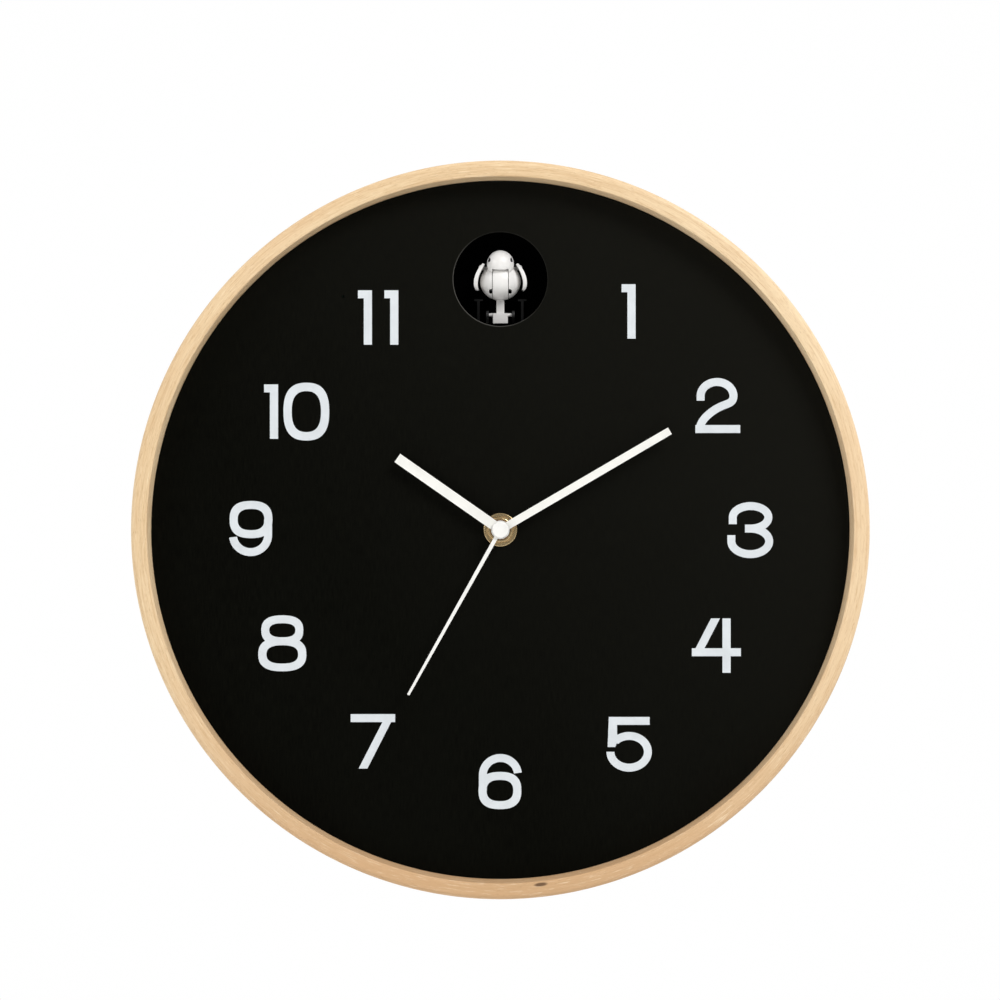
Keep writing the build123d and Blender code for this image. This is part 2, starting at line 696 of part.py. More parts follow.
with BuildPart() as hour_wheel:
    phase = meshing_phase((0, 0), HOUR_TEETH, MOTION, MOTION_PINION, 0)
    wheel(27.3, 0.8, HOUR_TEETH, HOUR_MODULE, phase, (0, 0))
    disc(27.3, 2.5, 39.2)
    pierce(27.0, 1.68, 40.0, [(0, 0)])
save(hour_wheel, "hour_wheel")

KNOB_GRIPS = 24
with BuildPart() as setting_knob:
    phase = meshing_phase(KNOB, KNOB_TEETH, MOTION, MOTION_TEETH, motion_phase)
    wheel(25.9, 1.1, KNOB_TEETH, MOTION_MODULE, phase, KNOB)
    disc(13.0, 1.2, 25.9, KNOB)
    disc(25.9, 0.8, 29.8, KNOB)
    disc(11.0, 5.6, 14.4, KNOB)
    chamfer(setting_knob.edges().group_by(Axis.Y)[-1], 0.5)
    with BuildSketch(front(11.0)):
        with Locations(KNOB):
            with PolarLocations(5.8, KNOB_GRIPS):
                Circle(0.45)
    extrude(amount=3.4, mode=Mode.SUBTRACT)
save(setting_knob, "setting_knob")


# ---------------------------------------------------------------- hands
def hand_blade(height, widths, length, angle):
    """Flat blade from the arbor in the direction of a clock angle."""
    with BuildSketch(front(height)) as outline:
        with Locations(Location((0, 0, 0), (0, 0, -angle))):
            root, tip = widths[0] / 2, widths[1] / 2
            Polygon((-root, 0), (root, 0), (tip, length), (-tip, length), align=None)
    extrude(outline.sketch, amount=BLADE)


with BuildPart() as hour_hand:
    hand_blade(38.9, (HOUR_WIDTH, HOUR_WIDTH), HOUR_LENGTH, HOUR_ANGLE)
    disc(38.1, 4.0, 39.5)
    pierce(38.0, 2.52, 40.0, [(0, 0)])
save(hour_hand, "hour_hand")

with BuildPart() as minute_hand:
    hand_blade(40.7, (MINUTE_WIDTH, MINUTE_WIDTH), MINUTE_LENGTH, MINUTE_ANGLE)
    disc(40.0, 3.8, 41.3)
    pierce(39.9, 1.62, 41.4, [(0, 0)])
save(minute_hand, "minute_hand")

with BuildPart() as second_hand:
    hand_blade(42.2, SECOND_WIDTHS, SECOND_LENGTH, SECOND_ANGLE)
    disc(41.9, CAP_RADIUS, 44.1)
    fillet(second_hand.edges().group_by(Axis.Y)[0], 0.7)
    pierce(41.8, 0.57, 43.45, [(0, 0)])
save(second_hand, "second_hand")

# ---------------------------------------------------------------- cuckoo mechanism
FRAME_FRONT = COVER_BACK
FRAME_MIDDLE = (FRAME_BOTTOM + FRAME_TOP) / 2
FRAME_HEIGHT = FRAME_TOP - FRAME_BOTTOM
BACK_PLATE = PANEL_FRONT + FRAME_WALL
MOTOR_WALL_X = -9.4
BEARING_WALL_X = 0.0
MIDDLE_WALL_X = -10.5
SHAFT = 1.0
RODS = [(-ROD_X, ROD_Z), (ROD_X, ROD_Z)]
MOTOR_RADIUS = 7.7

with BuildPart() as mechanism_frame:
    with BuildSketch(front(PANEL_FRONT)):
        with Locations((0, FRAME_MIDDLE)):
            RectangleRounded(2 * FRAME_HALF, FRAME_HEIGHT, 2)
    extrude(amount=FRAME_WALL)
    with BuildSketch(front(BACK_PLATE)):
        with Locations((0, FRAME_MIDDLE)):
            RectangleRounded(2 * FRAME_HALF, FRAME_HEIGHT, 2)
            Rectangle(2 * FRAME_HALF - 2 * FRAME_WALL, FRAME_HEIGHT - 2 * FRAME_WALL, mode=Mode.SUBTRACT)
    extrude(amount=FRAME_FRONT - BACK_PLATE)
    for place in FRAME_SCREWS:
        disc(BACK_PLATE, 3.2, 17.0, place)
    pierce(PANEL_FRONT, SCREW_SHANK + 0.02, 16.0, FRAME_SCREWS)
    for wall_x, wall_z, wall_height in ((BEARING_WALL_X, 72.6, 16.8), (MOTOR_WALL_X, 53.6, 21.0)):
        with BuildSketch(across(wall_x)) as wall:
            with Locations((-(BACK_PLATE + 10.2), wall_z)):
                Rectangle(20.4, wall_height)
        extrude(wall.sketch, amount=1.2)
    along_x(MOTOR_WALL_X, 3.1, MOTOR_WALL_X + 1.2, (AXIS_HEIGHT, MOTOR_Z), Mode.SUBTRACT)
    with BuildSketch(across(MIDDLE_WALL_X)) as wall:
        with Locations((-(BACK_PLATE + 10.2), 73.2)):
            Rectangle(20.4, 18.0)
        with Locations((-AXIS_HEIGHT, REDUCTION_Z)):
            Circle(2.55, mode=Mode.SUBTRACT)
    extrude(wall.sketch, amount=1.0)
    for axis_z, start in ((DRIVE_Z, MIDDLE_WALL_X), (REDUCTION_Z, -FRAME_HALF - 1)):
        along_x(start, SHAFT + 0.05, BEARING_WALL_X + 2, (AXIS_HEIGHT, axis_z), Mode.SUBTRACT)
    for cradle_x in (-5.0, 10.0):
        with BuildSketch(across(cradle_x)) as cradle:
            with Locations((-(BACK_PLATE + 4.2), MOTOR_Z)):
                Rectangle(8.4, 13.0)
            with Locations((-AXIS_HEIGHT, MOTOR_Z)):
                Circle(MOTOR_RADIUS + 0.05, mode=Mode.SUBTRACT)
        extrude(cradle.sketch, amount=1.6)
    with BuildSketch(across(FRAME_HALF - FRAME_WALL - 1)) as cable_hole:
        with Locations((-AXIS_HEIGHT, MOTOR_Z)):
            RectangleRounded(5.0, 6.0, 1)
    extrude(cable_hole.sketch, amount=FRAME_WALL + 2, mode=Mode.SUBTRACT)
    pierce(PANEL_FRONT + 0.8, ROD_RADIUS + 0.02, BACK_PLATE, RODS)
save(mechanism_frame, "mechanism_frame")

with BuildPart() as mechanism_cover:
    with BuildSketch(front(COVER_BACK)):
        with Locations((0, FRAME_MIDDLE)):
            RectangleRounded(2 * FRAME_HALF, FRAME_HEIGHT, 2)
        with Locations((0, WINDOW_Z)):
            Circle(WINDOW_RADIUS + 0.6, mode=Mode.SUBTRACT)
        with Locations((-3.5, 80.0)):
            Rectangle(6.0, 8.0, mode=Mode.SUBTRACT)
        with Locations(*RODS):
            Circle(ROD_RADIUS + 0.02, mode=Mode.SUBTRACT)
    extrude(amount=DIAL_BACK - COVER_BACK)
    with BuildSketch(front(COVER_BACK)):
        with Locations((-17.0, 60.0), (17.0, 60.0)):
            Rectangle(3.0, 12.0)
    extrude(amount=-3.0)
save(mechanism_cover, "mechanism_cover")

with BuildPart() as guide_rods:
    for place in RODS:
        disc(PANEL_FRONT + 0.9, ROD_RADIUS, DIAL_BACK - 0.1, place)
    chamfer(guide_rods.edges(), 0.2)
save(guide_rods, "guide_rods")


def side_wheel(x, width, teeth, module, phase, z):
    """Toothed wheel on an axis along X."""
    with BuildSketch(across(x).move(Location((-AXIS_HEIGHT, z, 0)))) as outline:
        toothed_wheel(teeth, module, phase)
    extrude(outline.sketch, amount=width)


RACK_PITCH = math.pi * RACK_MODULE
RACK_TEETH = 6
DRIVE_CENTRE = (0, DRIVE_Z)
REDUCTION_CENTRE = (0, REDUCTION_Z)
MOTOR_CENTRE = (0, MOTOR_Z)

with BuildPart() as drive_gear:
    side_wheel(-5.6, 4.2, RACK_PINION, RACK_MODULE, 90, DRIVE_Z)
    side_wheel(-8.9, 2.0, DRIVE_TEETH, GEAR_MODULE, 0, DRIVE_Z)
    along_x(-6.9, 3.5, -5.6, (AXIS_HEIGHT, DRIVE_Z))
    along_x(MIDDLE_WALL_X, SHAFT, BEARING_WALL_X + 1.2, (AXIS_HEIGHT, DRIVE_Z))
save(drive_gear, "drive_gear")

with BuildPart() as reduction_gear:
    phase = meshing_phase(REDUCTION_CENTRE, SMALL_TEETH, DRIVE_CENTRE, DRIVE_TEETH, 0)
    side_wheel(-9.2, 2.8, SMALL_TEETH, GEAR_MODULE, phase, REDUCTION_Z)
    side_wheel(-13.0, 2.0, REDUCTION_TEETH, GEAR_MODULE, 0, REDUCTION_Z)
    along_x(-11.0, 2.4, -9.2, (AXIS_HEIGHT, REDUCTION_Z))
    along_x(-FRAME_HALF, SHAFT, BEARING_WALL_X + 1.2, (AXIS_HEIGHT, REDUCTION_Z))
save(reduction_gear, "reduction_gear")

with BuildPart() as motor_pinion:
    phase = meshing_phase(MOTOR_CENTRE, SMALL_TEETH, REDUCTION_CENTRE, REDUCTION_TEETH, 0)
    side_wheel(-13.6, 3.2, SMALL_TEETH, GEAR_MODULE, phase, MOTOR_Z)
    along_x(-13.9, 0.95, -6.2, (AXIS_HEIGHT, MOTOR_Z))
save(motor_pinion, "motor_pinion")

with BuildPart() as drive_motor:
    along_x(MOTOR_WALL_X + 1.2, MOTOR_RADIUS, 15.0, (AXIS_HEIGHT, MOTOR_Z))
    fillet(drive_motor.edges().filter_by(GeomType.CIRCLE), 0.8)
    along_x(MOTOR_WALL_X + 0.1, 3.0, MOTOR_WALL_X + 1.3, (AXIS_HEIGHT, MOTOR_Z))
    along_x(15.0, 5.2, 17.0, (AXIS_HEIGHT, MOTOR_Z))
    along_x(MOTOR_WALL_X, 1.0, -6.0, (AXIS_HEIGHT, MOTOR_Z), Mode.SUBTRACT)
save(drive_motor, "drive_motor")

# Carriage at rest: a bridge on the two rods, a rack below it, two ears for the bird and two
# horns that the wing tips ride on when the bird bows
CARRIAGE = (7.6, 19.5)
CARRIAGE_Z = (83.3, 87.0)
EAR_X = 4.95
EAR_THICKNESS = 1.2
PIN_RADIUS = 0.75
HORN_X = 9.5
HORN_Z = BIRD_Z - 8.5
HORN_BACK = 11.0

with BuildPart() as bird_carriage:
    with BuildSketch(front(CARRIAGE[0])):
        with Locations((0, sum(CARRIAGE_Z) / 2)):
            Rectangle(2 * ROD_X, CARRIAGE_Z[1] - CARRIAGE_Z[0])
        with Locations(*RODS):
            Circle(2.2)
            Circle(ROD_RADIUS + 0.05, mode=Mode.SUBTRACT)
        with Locations((-9.4, 85.0), (9.4, 85.0)):
            Rectangle(3.4, 1.6, mode=Mode.SUBTRACT)
    extrude(amount=CARRIAGE[1] - CARRIAGE[0])
    with BuildSketch(across(-5.2)):
        with Locations((-(CARRIAGE[0] + 6.7), RACK_Z + 1.1)):
            Rectangle(13.4, 0.6)
        for number in range(RACK_TEETH):
            offset = (number - RACK_TEETH / 2 + 1) * RACK_PITCH
            if abs(offset - RACK_PITCH / 2) < 9.0:
                with Locations((-(AXIS_HEIGHT - 5.0 + offset - RACK_PITCH / 2 - 0.03), RACK_Z)):
                    Polygon((-0.72, 0.9), (0.72, 0.9), (0.28, -0.6), (-0.28, -0.6), align=None)
    extrude(amount=3.4)
    for ear_x in (-EAR_X - EAR_THICKNESS, EAR_X):
        with BuildSketch(across(ear_x)) as ear:
            Polygon((-11.5, CARRIAGE_Z[1] - 0.5), (-19.4, CARRIAGE_Z[1] - 0.5), (-19.4, 88.6),
                    (-TRUNNION_HEIGHT - 0.6, TRUNNION_Z - 1.75), (-TRUNNION_HEIGHT, TRUNNION_Z + 1.85),
                    (-TRUNNION_HEIGHT + 1.6, TRUNNION_Z + 1.2), align=None)
            with Locations((-TRUNNION_HEIGHT, TRUNNION_Z)):
                Circle(1.85)
                Circle(PIN_RADIUS + 0.05, mode=Mode.SUBTRACT)
        extrude(ear.sketch, amount=EAR_THICKNESS)
    for side in (-1, 1):
        with BuildSketch(front(HORN_BACK)) as horn:
            with Locations((side * HORN_X, (CARRIAGE_Z[1] + HORN_Z) / 2 - 0.2)):
                Rectangle(1.2, HORN_Z - CARRIAGE_Z[1] + 0.4)
            with Locations((side * HORN_X, HORN_Z)):
                SlotOverall(4.0, 0.8)
        extrude(horn.sketch, amount=2.2)
save(bird_carriage, "bird_carriage")

# ---------------------------------------------------------------- bird
BODY_Z = BIRD_Z - 1.1
BODY_SIZE = (8.75, 10.6, 8.1)
BODY_HEIGHT = 23.0
STRIP = 3.35
SEAM = 0.22
SHELL_EDGE = 12.0
HEAD_Z = BIRD_Z + 6.2
HEAD_HEIGHT = 28.5
HEAD_SIZE = (5.8, 6.3, 5.9)
HEAD_SEAT_SIZE = (5.85, 6.35, 5.95)
BODY_CLEAR_SIZE = (8.8, 10.65, 8.15)
BEAK_EDGE = BIRD_Z + 3.85
BEAK_SAG = 0.35
EYE = (4.85, BIRD_Z + 7.9)
WING_X = 8.35
WING_Z = BIRD_Z + 4.9
WING_HEIGHT = 24.2
WING_PIN = 0.5
WING_LUGS = (17.2, 21.2)
LUG = 1.0


def egg(size, height=BODY_HEIGHT, z=BODY_Z):
    """Egg-shaped solid with half sizes along x, y and z."""
    with BuildPart(mode=Mode.PRIVATE) as shape:
        Sphere(1)
        scale(by=size)
    return shape.part.moved(Location((0, -height, z)))


def slab(x_start, x_end, margin=14.0):
    """Block that keeps the part of the body between two planes across the clock."""
    with BuildPart(mode=Mode.PRIVATE) as shape:
        with Locations(((x_start + x_end) / 2, -BODY_HEIGHT, BODY_Z)):
            Box(x_end - x_start, 2 * margin, 2 * margin)
    return shape.part


def chin(half_width, edge, mode):
    """Everything in front of the clock below the curved edge of the beak, over the centre strip."""
    with BuildSketch(front(HEAD_HEIGHT - 12)) as below:
        with BuildLine():
            brow = ThreePointArc((-half_width, edge), (0, edge - BEAK_SAG), (half_width, edge))
            Polyline(brow @ 1, (half_width, edge - 12), (-half_width, edge - 12), brow @ 0)
        make_face()
    extrude(below.sketch, amount=24, mode=mode)


with BuildPart() as head_above_chin:
    add(egg(HEAD_SEAT_SIZE, HEAD_HEIGHT, HEAD_Z))
    chin(STRIP + 3, BEAK_EDGE - 0.05, Mode.SUBTRACT)

with BuildPart() as bird_core:
    add(egg(BODY_SIZE))
    add(slab(-STRIP, STRIP), mode=Mode.INTERSECT)
    with BuildSketch(across(-STRIP + 0.4)):
        Polygon((-17.5, BODY_Z + 4.5), (-17.5, BODY_Z - 3.5), (-8.8, BODY_Z - 5.4),
                (-8.0, BODY_Z - 3.4), align=None)
    extrude(amount=2 * STRIP - 0.8)
    add(head_above_chin.part, mode=Mode.SUBTRACT)
    with BuildSketch(front(TRUNNION_HEIGHT - 1.8)):
        with Locations((0, BIRD_Z - 10.4)):
            Rectangle(2.5, 6.0)
            with Locations((0, -1.3)):
                Rectangle(3.6, 6.0)
    extrude(amount=3.6, mode=Mode.SUBTRACT)
save(bird_core, "bird_core")


with BuildPart() as bird_shell_right:
    add(egg(BODY_SIZE))
    add(slab(STRIP + SEAM, SHELL_EDGE), mode=Mode.INTERSECT)
    with BuildSketch(front(BODY_HEIGHT - 12)) as notch:
        with Locations((STRIP + 0.4, BIRD_Z - 5.6)):
            RectangleRounded(2.2, 1.8, 0.6)
    extrude(notch.sketch, amount=24, mode=Mode.SUBTRACT)
    for back in WING_LUGS:
        with BuildSketch(front(back)) as lug:
            Polygon((4.2, WING_Z - 1.9), (WING_X, WING_Z - 0.7), (WING_X, WING_Z + 0.7),
                    (4.2, WING_Z + 0.1), align=None)
            with Locations((WING_X, WING_Z)):
                Circle(0.9)
        extrude(lug.sketch, amount=LUG)
    disc(WING_LUGS[0] + LUG / 2, WING_PIN, WING_LUGS[1] + LUG / 2, (WING_X, WING_Z))
save(bird_shell_right, "bird_shell_right")

with BuildPart() as bird_shell_left:
    add(mirror(bird_shell_right.part, about=Plane.YZ))
save(bird_shell_left, "bird_shell_left")

with BuildPart() as bird_head:
    add(egg(HEAD_SIZE, HEAD_HEIGHT, HEAD_Z))
    chin(STRIP + 0.1, BEAK_EDGE, Mode.SUBTRACT)
    for side in (-1, 1):
        with BuildPart(mode=Mode.PRIVATE) as shoulder:
            add(egg(BODY_CLEAR_SIZE))
            near, far = side * STRIP, side * SHELL_EDGE
            add(slab(min(near, far), max(near, far)), mode=Mode.INTERSECT)
        add(shoulder.part, mode=Mode.SUBTRACT)
    with BuildSketch(front(HEAD_HEIGHT + 2)):
        with Locations(EYE, (-EYE[0], EYE[1])):
            Ellipse(0.62, 1.05)
    extrude(amount=6, mode=Mode.SUBTRACT)
save(bird_head, "bird_head")

with BuildPart() as bird_eyes:
    with BuildSketch(front(HEAD_HEIGHT + 2)):
        with Locations(EYE, (-EYE[0], EYE[1])):
            Ellipse(0.6, 1.03)
    extrude(amount=6)
    add(egg((5.75, 6.25, 5.85), HEAD_HEIGHT, HEAD_Z), mode=Mode.INTERSECT)
save(bird_eyes, "bird_eyes")

with BuildPart() as bird_foot:
    with BuildSketch(front(TRUNNION_HEIGHT - 1.5)):
        with Locations((0, BIRD_Z - 11.8)):
            Rectangle(3.4, 5.8)
    extrude(amount=3.0)
    with BuildSketch(front(TRUNNION_HEIGHT - 1.5)):
        with Locations((0, BIRD_Z - 8.9)):
            Rectangle(2.4, 2.6)
    extrude(amount=3.0)
    with BuildSketch(front(TRUNNION_HEIGHT - 2.1)):
        with Locations((0, BIRD_Z - 16.9)):
            RectangleRounded(6.4, 4.4, 0.3)
    extrude(amount=4.2)
    along_x(-EAR_X - EAR_THICKNESS, PIN_RADIUS, EAR_X + EAR_THICKNESS, (TRUNNION_HEIGHT, TRUNNION_Z))
save(bird_foot, "bird_foot")


def wing(side):
    """Curved leaf hugging one side of the body, hung on a pin held by two lugs of the shell."""
    outer_points = ((7.6, 6.6), (10.3, 2.65), (11.4, -1.8), (11.0, -4.2), (10.1, -5.1))
    inner_points = ((9.3, -4.7), (9.72, -2.65), (9.25, 0.88), (8.2, 3.4), (6.7, 6.1))
    with BuildPart() as leaf:
        with BuildSketch(front(WING_HEIGHT - 7.0)) as outline:
            with BuildLine():
                outer = Spline(*[(side * x, BIRD_Z + z) for x, z in outer_points])
                inner = Spline(*[(side * x, BIRD_Z + z) for x, z in inner_points])
                Line(outer @ 1, inner @ 0)
                Line(inner @ 1, outer @ 0)
            make_face()
        extrude(outline.sketch, amount=14.0)
        with BuildSketch(across(-20)) as blade:
            with Locations((-WING_HEIGHT, BIRD_Z + 0.8)):
                Ellipse(6.8, 7.4)
        extrude(blade.sketch, amount=40, mode=Mode.INTERSECT)
        disc(WING_LUGS[0] + LUG + 0.15, 1.05, WING_HEIGHT + 1, (side * WING_X, WING_Z))
        for back in WING_LUGS:
            with BuildSketch(front(back - 0.15)) as slot:
                with Locations((side * WING_X, WING_Z)):
                    Circle(1.3)
                with Locations((side * (WING_X - 0.6), WING_Z + 1.4)):
                    Rectangle(4.2, 3.4)
            extrude(slot.sketch, amount=LUG + 0.3, mode=Mode.SUBTRACT)
        disc(WING_LUGS[0], WING_PIN + 0.06, WING_LUGS[1] + LUG + 0.3, (side * WING_X, WING_Z), Mode.SUBTRACT)
    return leaf


wing_left = wing(-1)
save(wing_left, "wing_left")
wing_right = wing(1)
save(wing_right, "wing_right")

# ---------------------------------------------------------------- cells and their box
BOX_X, BOX_Z = BOX
BOX_FLOOR = 22.5
BOX_WALL = 1.0
CELL_OFFSET = 7.7
BOX_CELL_HEIGHT = 13.8
DOOR_AXIS = (3.6, BOX_Z + BOX_SIZE[1] / 2 - 1.5)
BOX_CELLS = ((BOX_X - CELL_OFFSET, 1), (BOX_X + CELL_OFFSET, -1))

with BuildPart() as battery_box:
    with BuildSketch(front(PANEL_FRONT)):
        with Locations(BOX):
            RectangleRounded(BOX_SIZE[0] + 10, BOX_SIZE[1] + 8, 3)
    extrude(amount=1.4)
    with BuildSketch(front(PANEL_FRONT)):
        with Locations(BOX):
            RectangleRounded(*BOX_SIZE, 2)
    extrude(amount=BOX_FLOOR - PANEL_FRONT)
    with BuildSketch(front(PANEL_FRONT)):
        with Locations(BOX):
            RectangleRounded(BOX_SIZE[0] - 2 * BOX_WALL, BOX_SIZE[1] - 2 * BOX_WALL, 1)
    extrude(amount=BOX_FLOOR - BOX_WALL - PANEL_FRONT, mode=Mode.SUBTRACT)
    for side in (-1, 1):
        with BuildSketch(front(DOOR_AXIS[0] - 1.0)) as lug:
            with Locations((BOX_X + side * 16.7, DOOR_AXIS[1])):
                Rectangle(0.8, 2.0)
        extrude(lug.sketch, amount=PANEL_FRONT - DOOR_AXIS[0] + 1.2)
    along_x(BOX_X - 16.7, 0.7, BOX_X + 16.7, DOOR_AXIS)
    with BuildSketch(front(PANEL_FRONT + 1)) as springs:
        for cell_x, up in BOX_CELLS:
            with Locations((cell_x, BOX_Z - up * (BOX_SIZE[1] / 2 - 2.0))):
                Rectangle(6, 2.0)
    extrude(springs.sketch, amount=BOX_FLOOR - BOX_WALL - PANEL_FRONT - 1)
save(battery_box, "battery_box")

with BuildPart() as box_batteries:
    with BuildSketch(Plane.XY.offset(BOX_Z - AA_LENGTH / 2)) as cans:
        with Locations(*[(cell_x, -BOX_CELL_HEIGHT) for cell_x, _ in BOX_CELLS]):
            Circle(AA_RADIUS)
    extrude(cans.sketch, amount=AA_LENGTH)
    fillet(box_batteries.edges().filter_by(GeomType.CIRCLE), 0.6)
    for cell_x, up in BOX_CELLS:
        with BuildSketch(Plane.XY.offset(BOX_Z + up * AA_LENGTH / 2)) as nub:
            with Locations((cell_x, -BOX_CELL_HEIGHT)):
                Circle(2.7)
        extrude(nub.sketch, amount=up * 1.1)
save(box_batteries, "box_batteries")

DOOR_GRIP_LINES = 5
with BuildPart() as battery_door:
    with BuildSketch(front(PANEL_BACK)):
        with Locations((BOX_X, BOX_Z - 0.45)):
            RectangleRounded(BOX_SIZE[0] + 0.4, BOX_SIZE[1] - 0.9, 1.5)
    extrude(amount=1.4)
    with BuildSketch(front(PANEL_BACK)):
        with Locations((BOX_X, BOX_Z - 22)):
            with GridLocations(0, 1.8, 1, DOOR_GRIP_LINES):
                SlotOverall(14, 0.8)
    extrude(amount=0.5, mode=Mode.SUBTRACT)
    with BuildSketch(front(PANEL_BACK + 1.4)):
        with Locations((BOX_X, BOX_Z - BOX_SIZE[1] / 2 + 1.8)):
            Rectangle(9, 1.0)
    extrude(amount=2.0)
    with BuildSketch(front(PANEL_BACK)):
        with Locations((BOX_X - 16.9, DOOR_AXIS[1]), (BOX_X + 16.9, DOOR_AXIS[1])):
            Rectangle(1.6, 3.2)
    extrude(amount=1.4, mode=Mode.SUBTRACT)
    for knuckle_x in (BOX_X - 12, BOX_X + 4):
        along_x(knuckle_x, 1.35, knuckle_x + 8, DOOR_AXIS)
    along_x(BOX_X - 17, 0.75, BOX_X + 17, DOOR_AXIS, Mode.SUBTRACT)
save(battery_door, "battery_door")

# ---------------------------------------------------------------- sound unit
BOARD_BACK = 9.0
BOARD_FRONT = 10.6
CONNECTORS = ((45.5, 28.0), (45.5, 36.0), (45.5, 55.0), (60.0, 26.8))

with BuildPart() as sound_board:
    with BuildSketch(front(BOARD_BACK)):
        with Locations(BOARD):
            RectangleRounded(*BOARD_SIZE, 1)
    extrude(amount=BOARD_FRONT - BOARD_BACK)
    with BuildSketch(front(PANEL_FRONT)):
        with Locations((52, 57), (86, 57), (52, 44), (86, 27)):
            Circle(2.0)
    extrude(amount=BOARD_BACK - PANEL_FRONT)
    with BuildSketch(front(6.4)):
        with Locations(BUTTON):
            Rectangle(7, 7)
            Circle(1.4, mode=Mode.SUBTRACT)
        with Locations(SLIDER):
            Rectangle(17, 6)
            Rectangle(14, 2.2, mode=Mode.SUBTRACT)
    extrude(amount=BOARD_BACK - 6.4)
    with BuildSketch(front(BOARD_FRONT)):
        with Locations(*CONNECTORS):
            Rectangle(5.0, 5.0)
    extrude(amount=5.0)
    with BuildSketch(front(BOARD_FRONT)):
        with Locations((70, 42)):
            Rectangle(9, 6.5)
        with Locations((60, 50), (64, 53)):
            Rectangle(3.2, 1.6)
    extrude(amount=1.5)
    with BuildSketch(front(BOARD_FRONT)):
        with Locations((82, 34), (82, 42)):
            Circle(3.1)
    extrude(amount=7.5)
save(sound_board, "sound_board")

with BuildPart() as volume_slider:
    with BuildSketch(front(1.0)):
        with Locations((SLIDER[0] - 5.0, SLIDER[1])):
            RectangleRounded(4.0, 3.8, 0.5)
    extrude(amount=5.2)
    with BuildSketch(front(6.2)):
        with Locations((SLIDER[0] - 5.0, SLIDER[1])):
            Rectangle(3.0, 2.0)
    extrude(amount=2.4)
save(volume_slider, "volume_slider")

with BuildPart() as demo_button:
    disc(1.0, 2.9, 5.1, BUTTON)
    fillet(demo_button.edges().group_by(Axis.Y)[-1], 0.5)
    disc(5.05, 3.8, 5.35, BUTTON)
    disc(5.35, 1.2, 7.4, BUTTON)
save(demo_button, "demo_button")

SPEAKER_PLANE = Plane((SPEAKER[0], 0, SPEAKER[1]))
SPEAKER_AXIS = Axis((SPEAKER[0], 0, SPEAKER[1]), (0, 1, 0))
MAGNET_RADIUS = 14.0

with BuildPart() as speaker_basket:
    with BuildSketch(SPEAKER_PLANE):
        Polygon((26.0, -5.0), (SPEAKER_RADIUS, -5.0), (SPEAKER_RADIUS, -6.2), (26.6, -6.2),
                (25.6, -9.0), (16.0, -13.2), (MAGNET_RADIUS, -13.2), (MAGNET_RADIUS, -20.0),
                (0, -20.0), (0, -12.4), (15.6, -12.4), (24.8, -8.4), align=None)
    revolve(axis=SPEAKER_AXIS)
    with BuildSketch(front(7.0)):
        with Locations(SPEAKER):
            with PolarLocations(20.4, 6, start_angle=0):
                RectangleRounded(6.0, 9.0, 2)
    extrude(amount=8.0, mode=Mode.SUBTRACT)
    with BuildSketch(front(6.2)):
        with Locations((60.4, SPEAKER[1] + 26.6)):
            Rectangle(7, 1.6)
    extrude(amount=8.3)
save(speaker_basket, "speaker_basket")

with BuildPart() as speaker_cone:
    with BuildSketch(SPEAKER_PLANE):
        Polygon((25.4, -5.3), (24.4, -5.3), (23.4, -6.2), (22.2, -5.5), (8, -10.8), (6, -9.4),
                (3, -8.5), (0, -8.3), (0, -8.9), (3, -9.1), (6, -10.1), (8, -11.6), (22.2, -6.2),
                (23.4, -7.0), (24.4, -6.0), (25.4, -6.0), align=None)
    revolve(axis=SPEAKER_AXIS)
save(speaker_cone, "speaker_cone")

with BuildPart() as light_sensor:
    with BuildSketch(front(27.0)):
        with Locations(SENSOR):
            RectangleRounded(13, 10, 1)
    extrude(amount=1.0)
    disc(28.0, 2.5, 31.4, SENSOR)
    fillet(light_sensor.edges().group_by(Axis.Y)[0], 1.2)
    with BuildSketch(front(28.0)):
        with Locations((SENSOR[0] - 5, SENSOR[1]), (SENSOR[0] + 5, SENSOR[1])):
            Rectangle(2.4, 9)
    extrude(amount=DIAL_BACK - 28.0)
save(light_sensor, "light_sensor")

# ---------------------------------------------------------------- wires, in pairs
WIRE_RADIUS = 0.55
WIRE_BEND = 3.0
PAIR_STEP = 0.55
BOARD_WIRE = -13.0
BOARD_EDGE = CONNECTORS[0][0] - 2.5
ROUTES = (
    ((-62, BOARD_WIRE, BOX_Z + BOX_SIZE[1] / 2), (-62, BOARD_WIRE, 28), (BOARD_EDGE, BOARD_WIRE, 28)),
    ((SENSOR[0], -27.5, SENSOR[1] - 5), (SENSOR[0], -27.5, 36), (SENSOR[0] + 12, BOARD_WIRE, 36),
     (BOARD_EDGE, BOARD_WIRE, 36)),
    ((17, -AXIS_HEIGHT, 55), (30, -AXIS_HEIGHT, 55), (36, BOARD_WIRE, 55), (BOARD_EDGE, BOARD_WIRE, 55)),
    ((60.3, BOARD_WIRE, CONNECTORS[3][1] - 2.5), (60.3, BOARD_WIRE, SPEAKER[1] + 27.4)),
)

with BuildPart() as wires:
    for route in ROUTES:
        for step in (-PAIR_STEP, PAIR_STEP):
            points = [Vector(*point) + Vector(step, step, step) for point in route]
            points[0] = Vector(route[0][0], points[0].Y, route[0][2]) + (
                Vector(0, 0, step) if route[0][2] == route[1][2] else Vector(step, 0, 0))
            points[-1] = Vector(route[-1][0], points[-1].Y, route[-1][2]) + (
                Vector(0, 0, step) if route[-1][2] == route[-2][2] else Vector(step, 0, 0))
            with BuildLine() as path:
                if len(points) > 2:
                    FilletPolyline(*points, radius=WIRE_BEND)
                else:
                    Line(*points)
            with BuildSketch(Plane(path.line @ 0, z_dir=path.line % 0)) as section:
                Circle(WIRE_RADIUS)
            sweep(section.sketch, path=path.line)
save(wires, "wires")
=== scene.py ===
import math

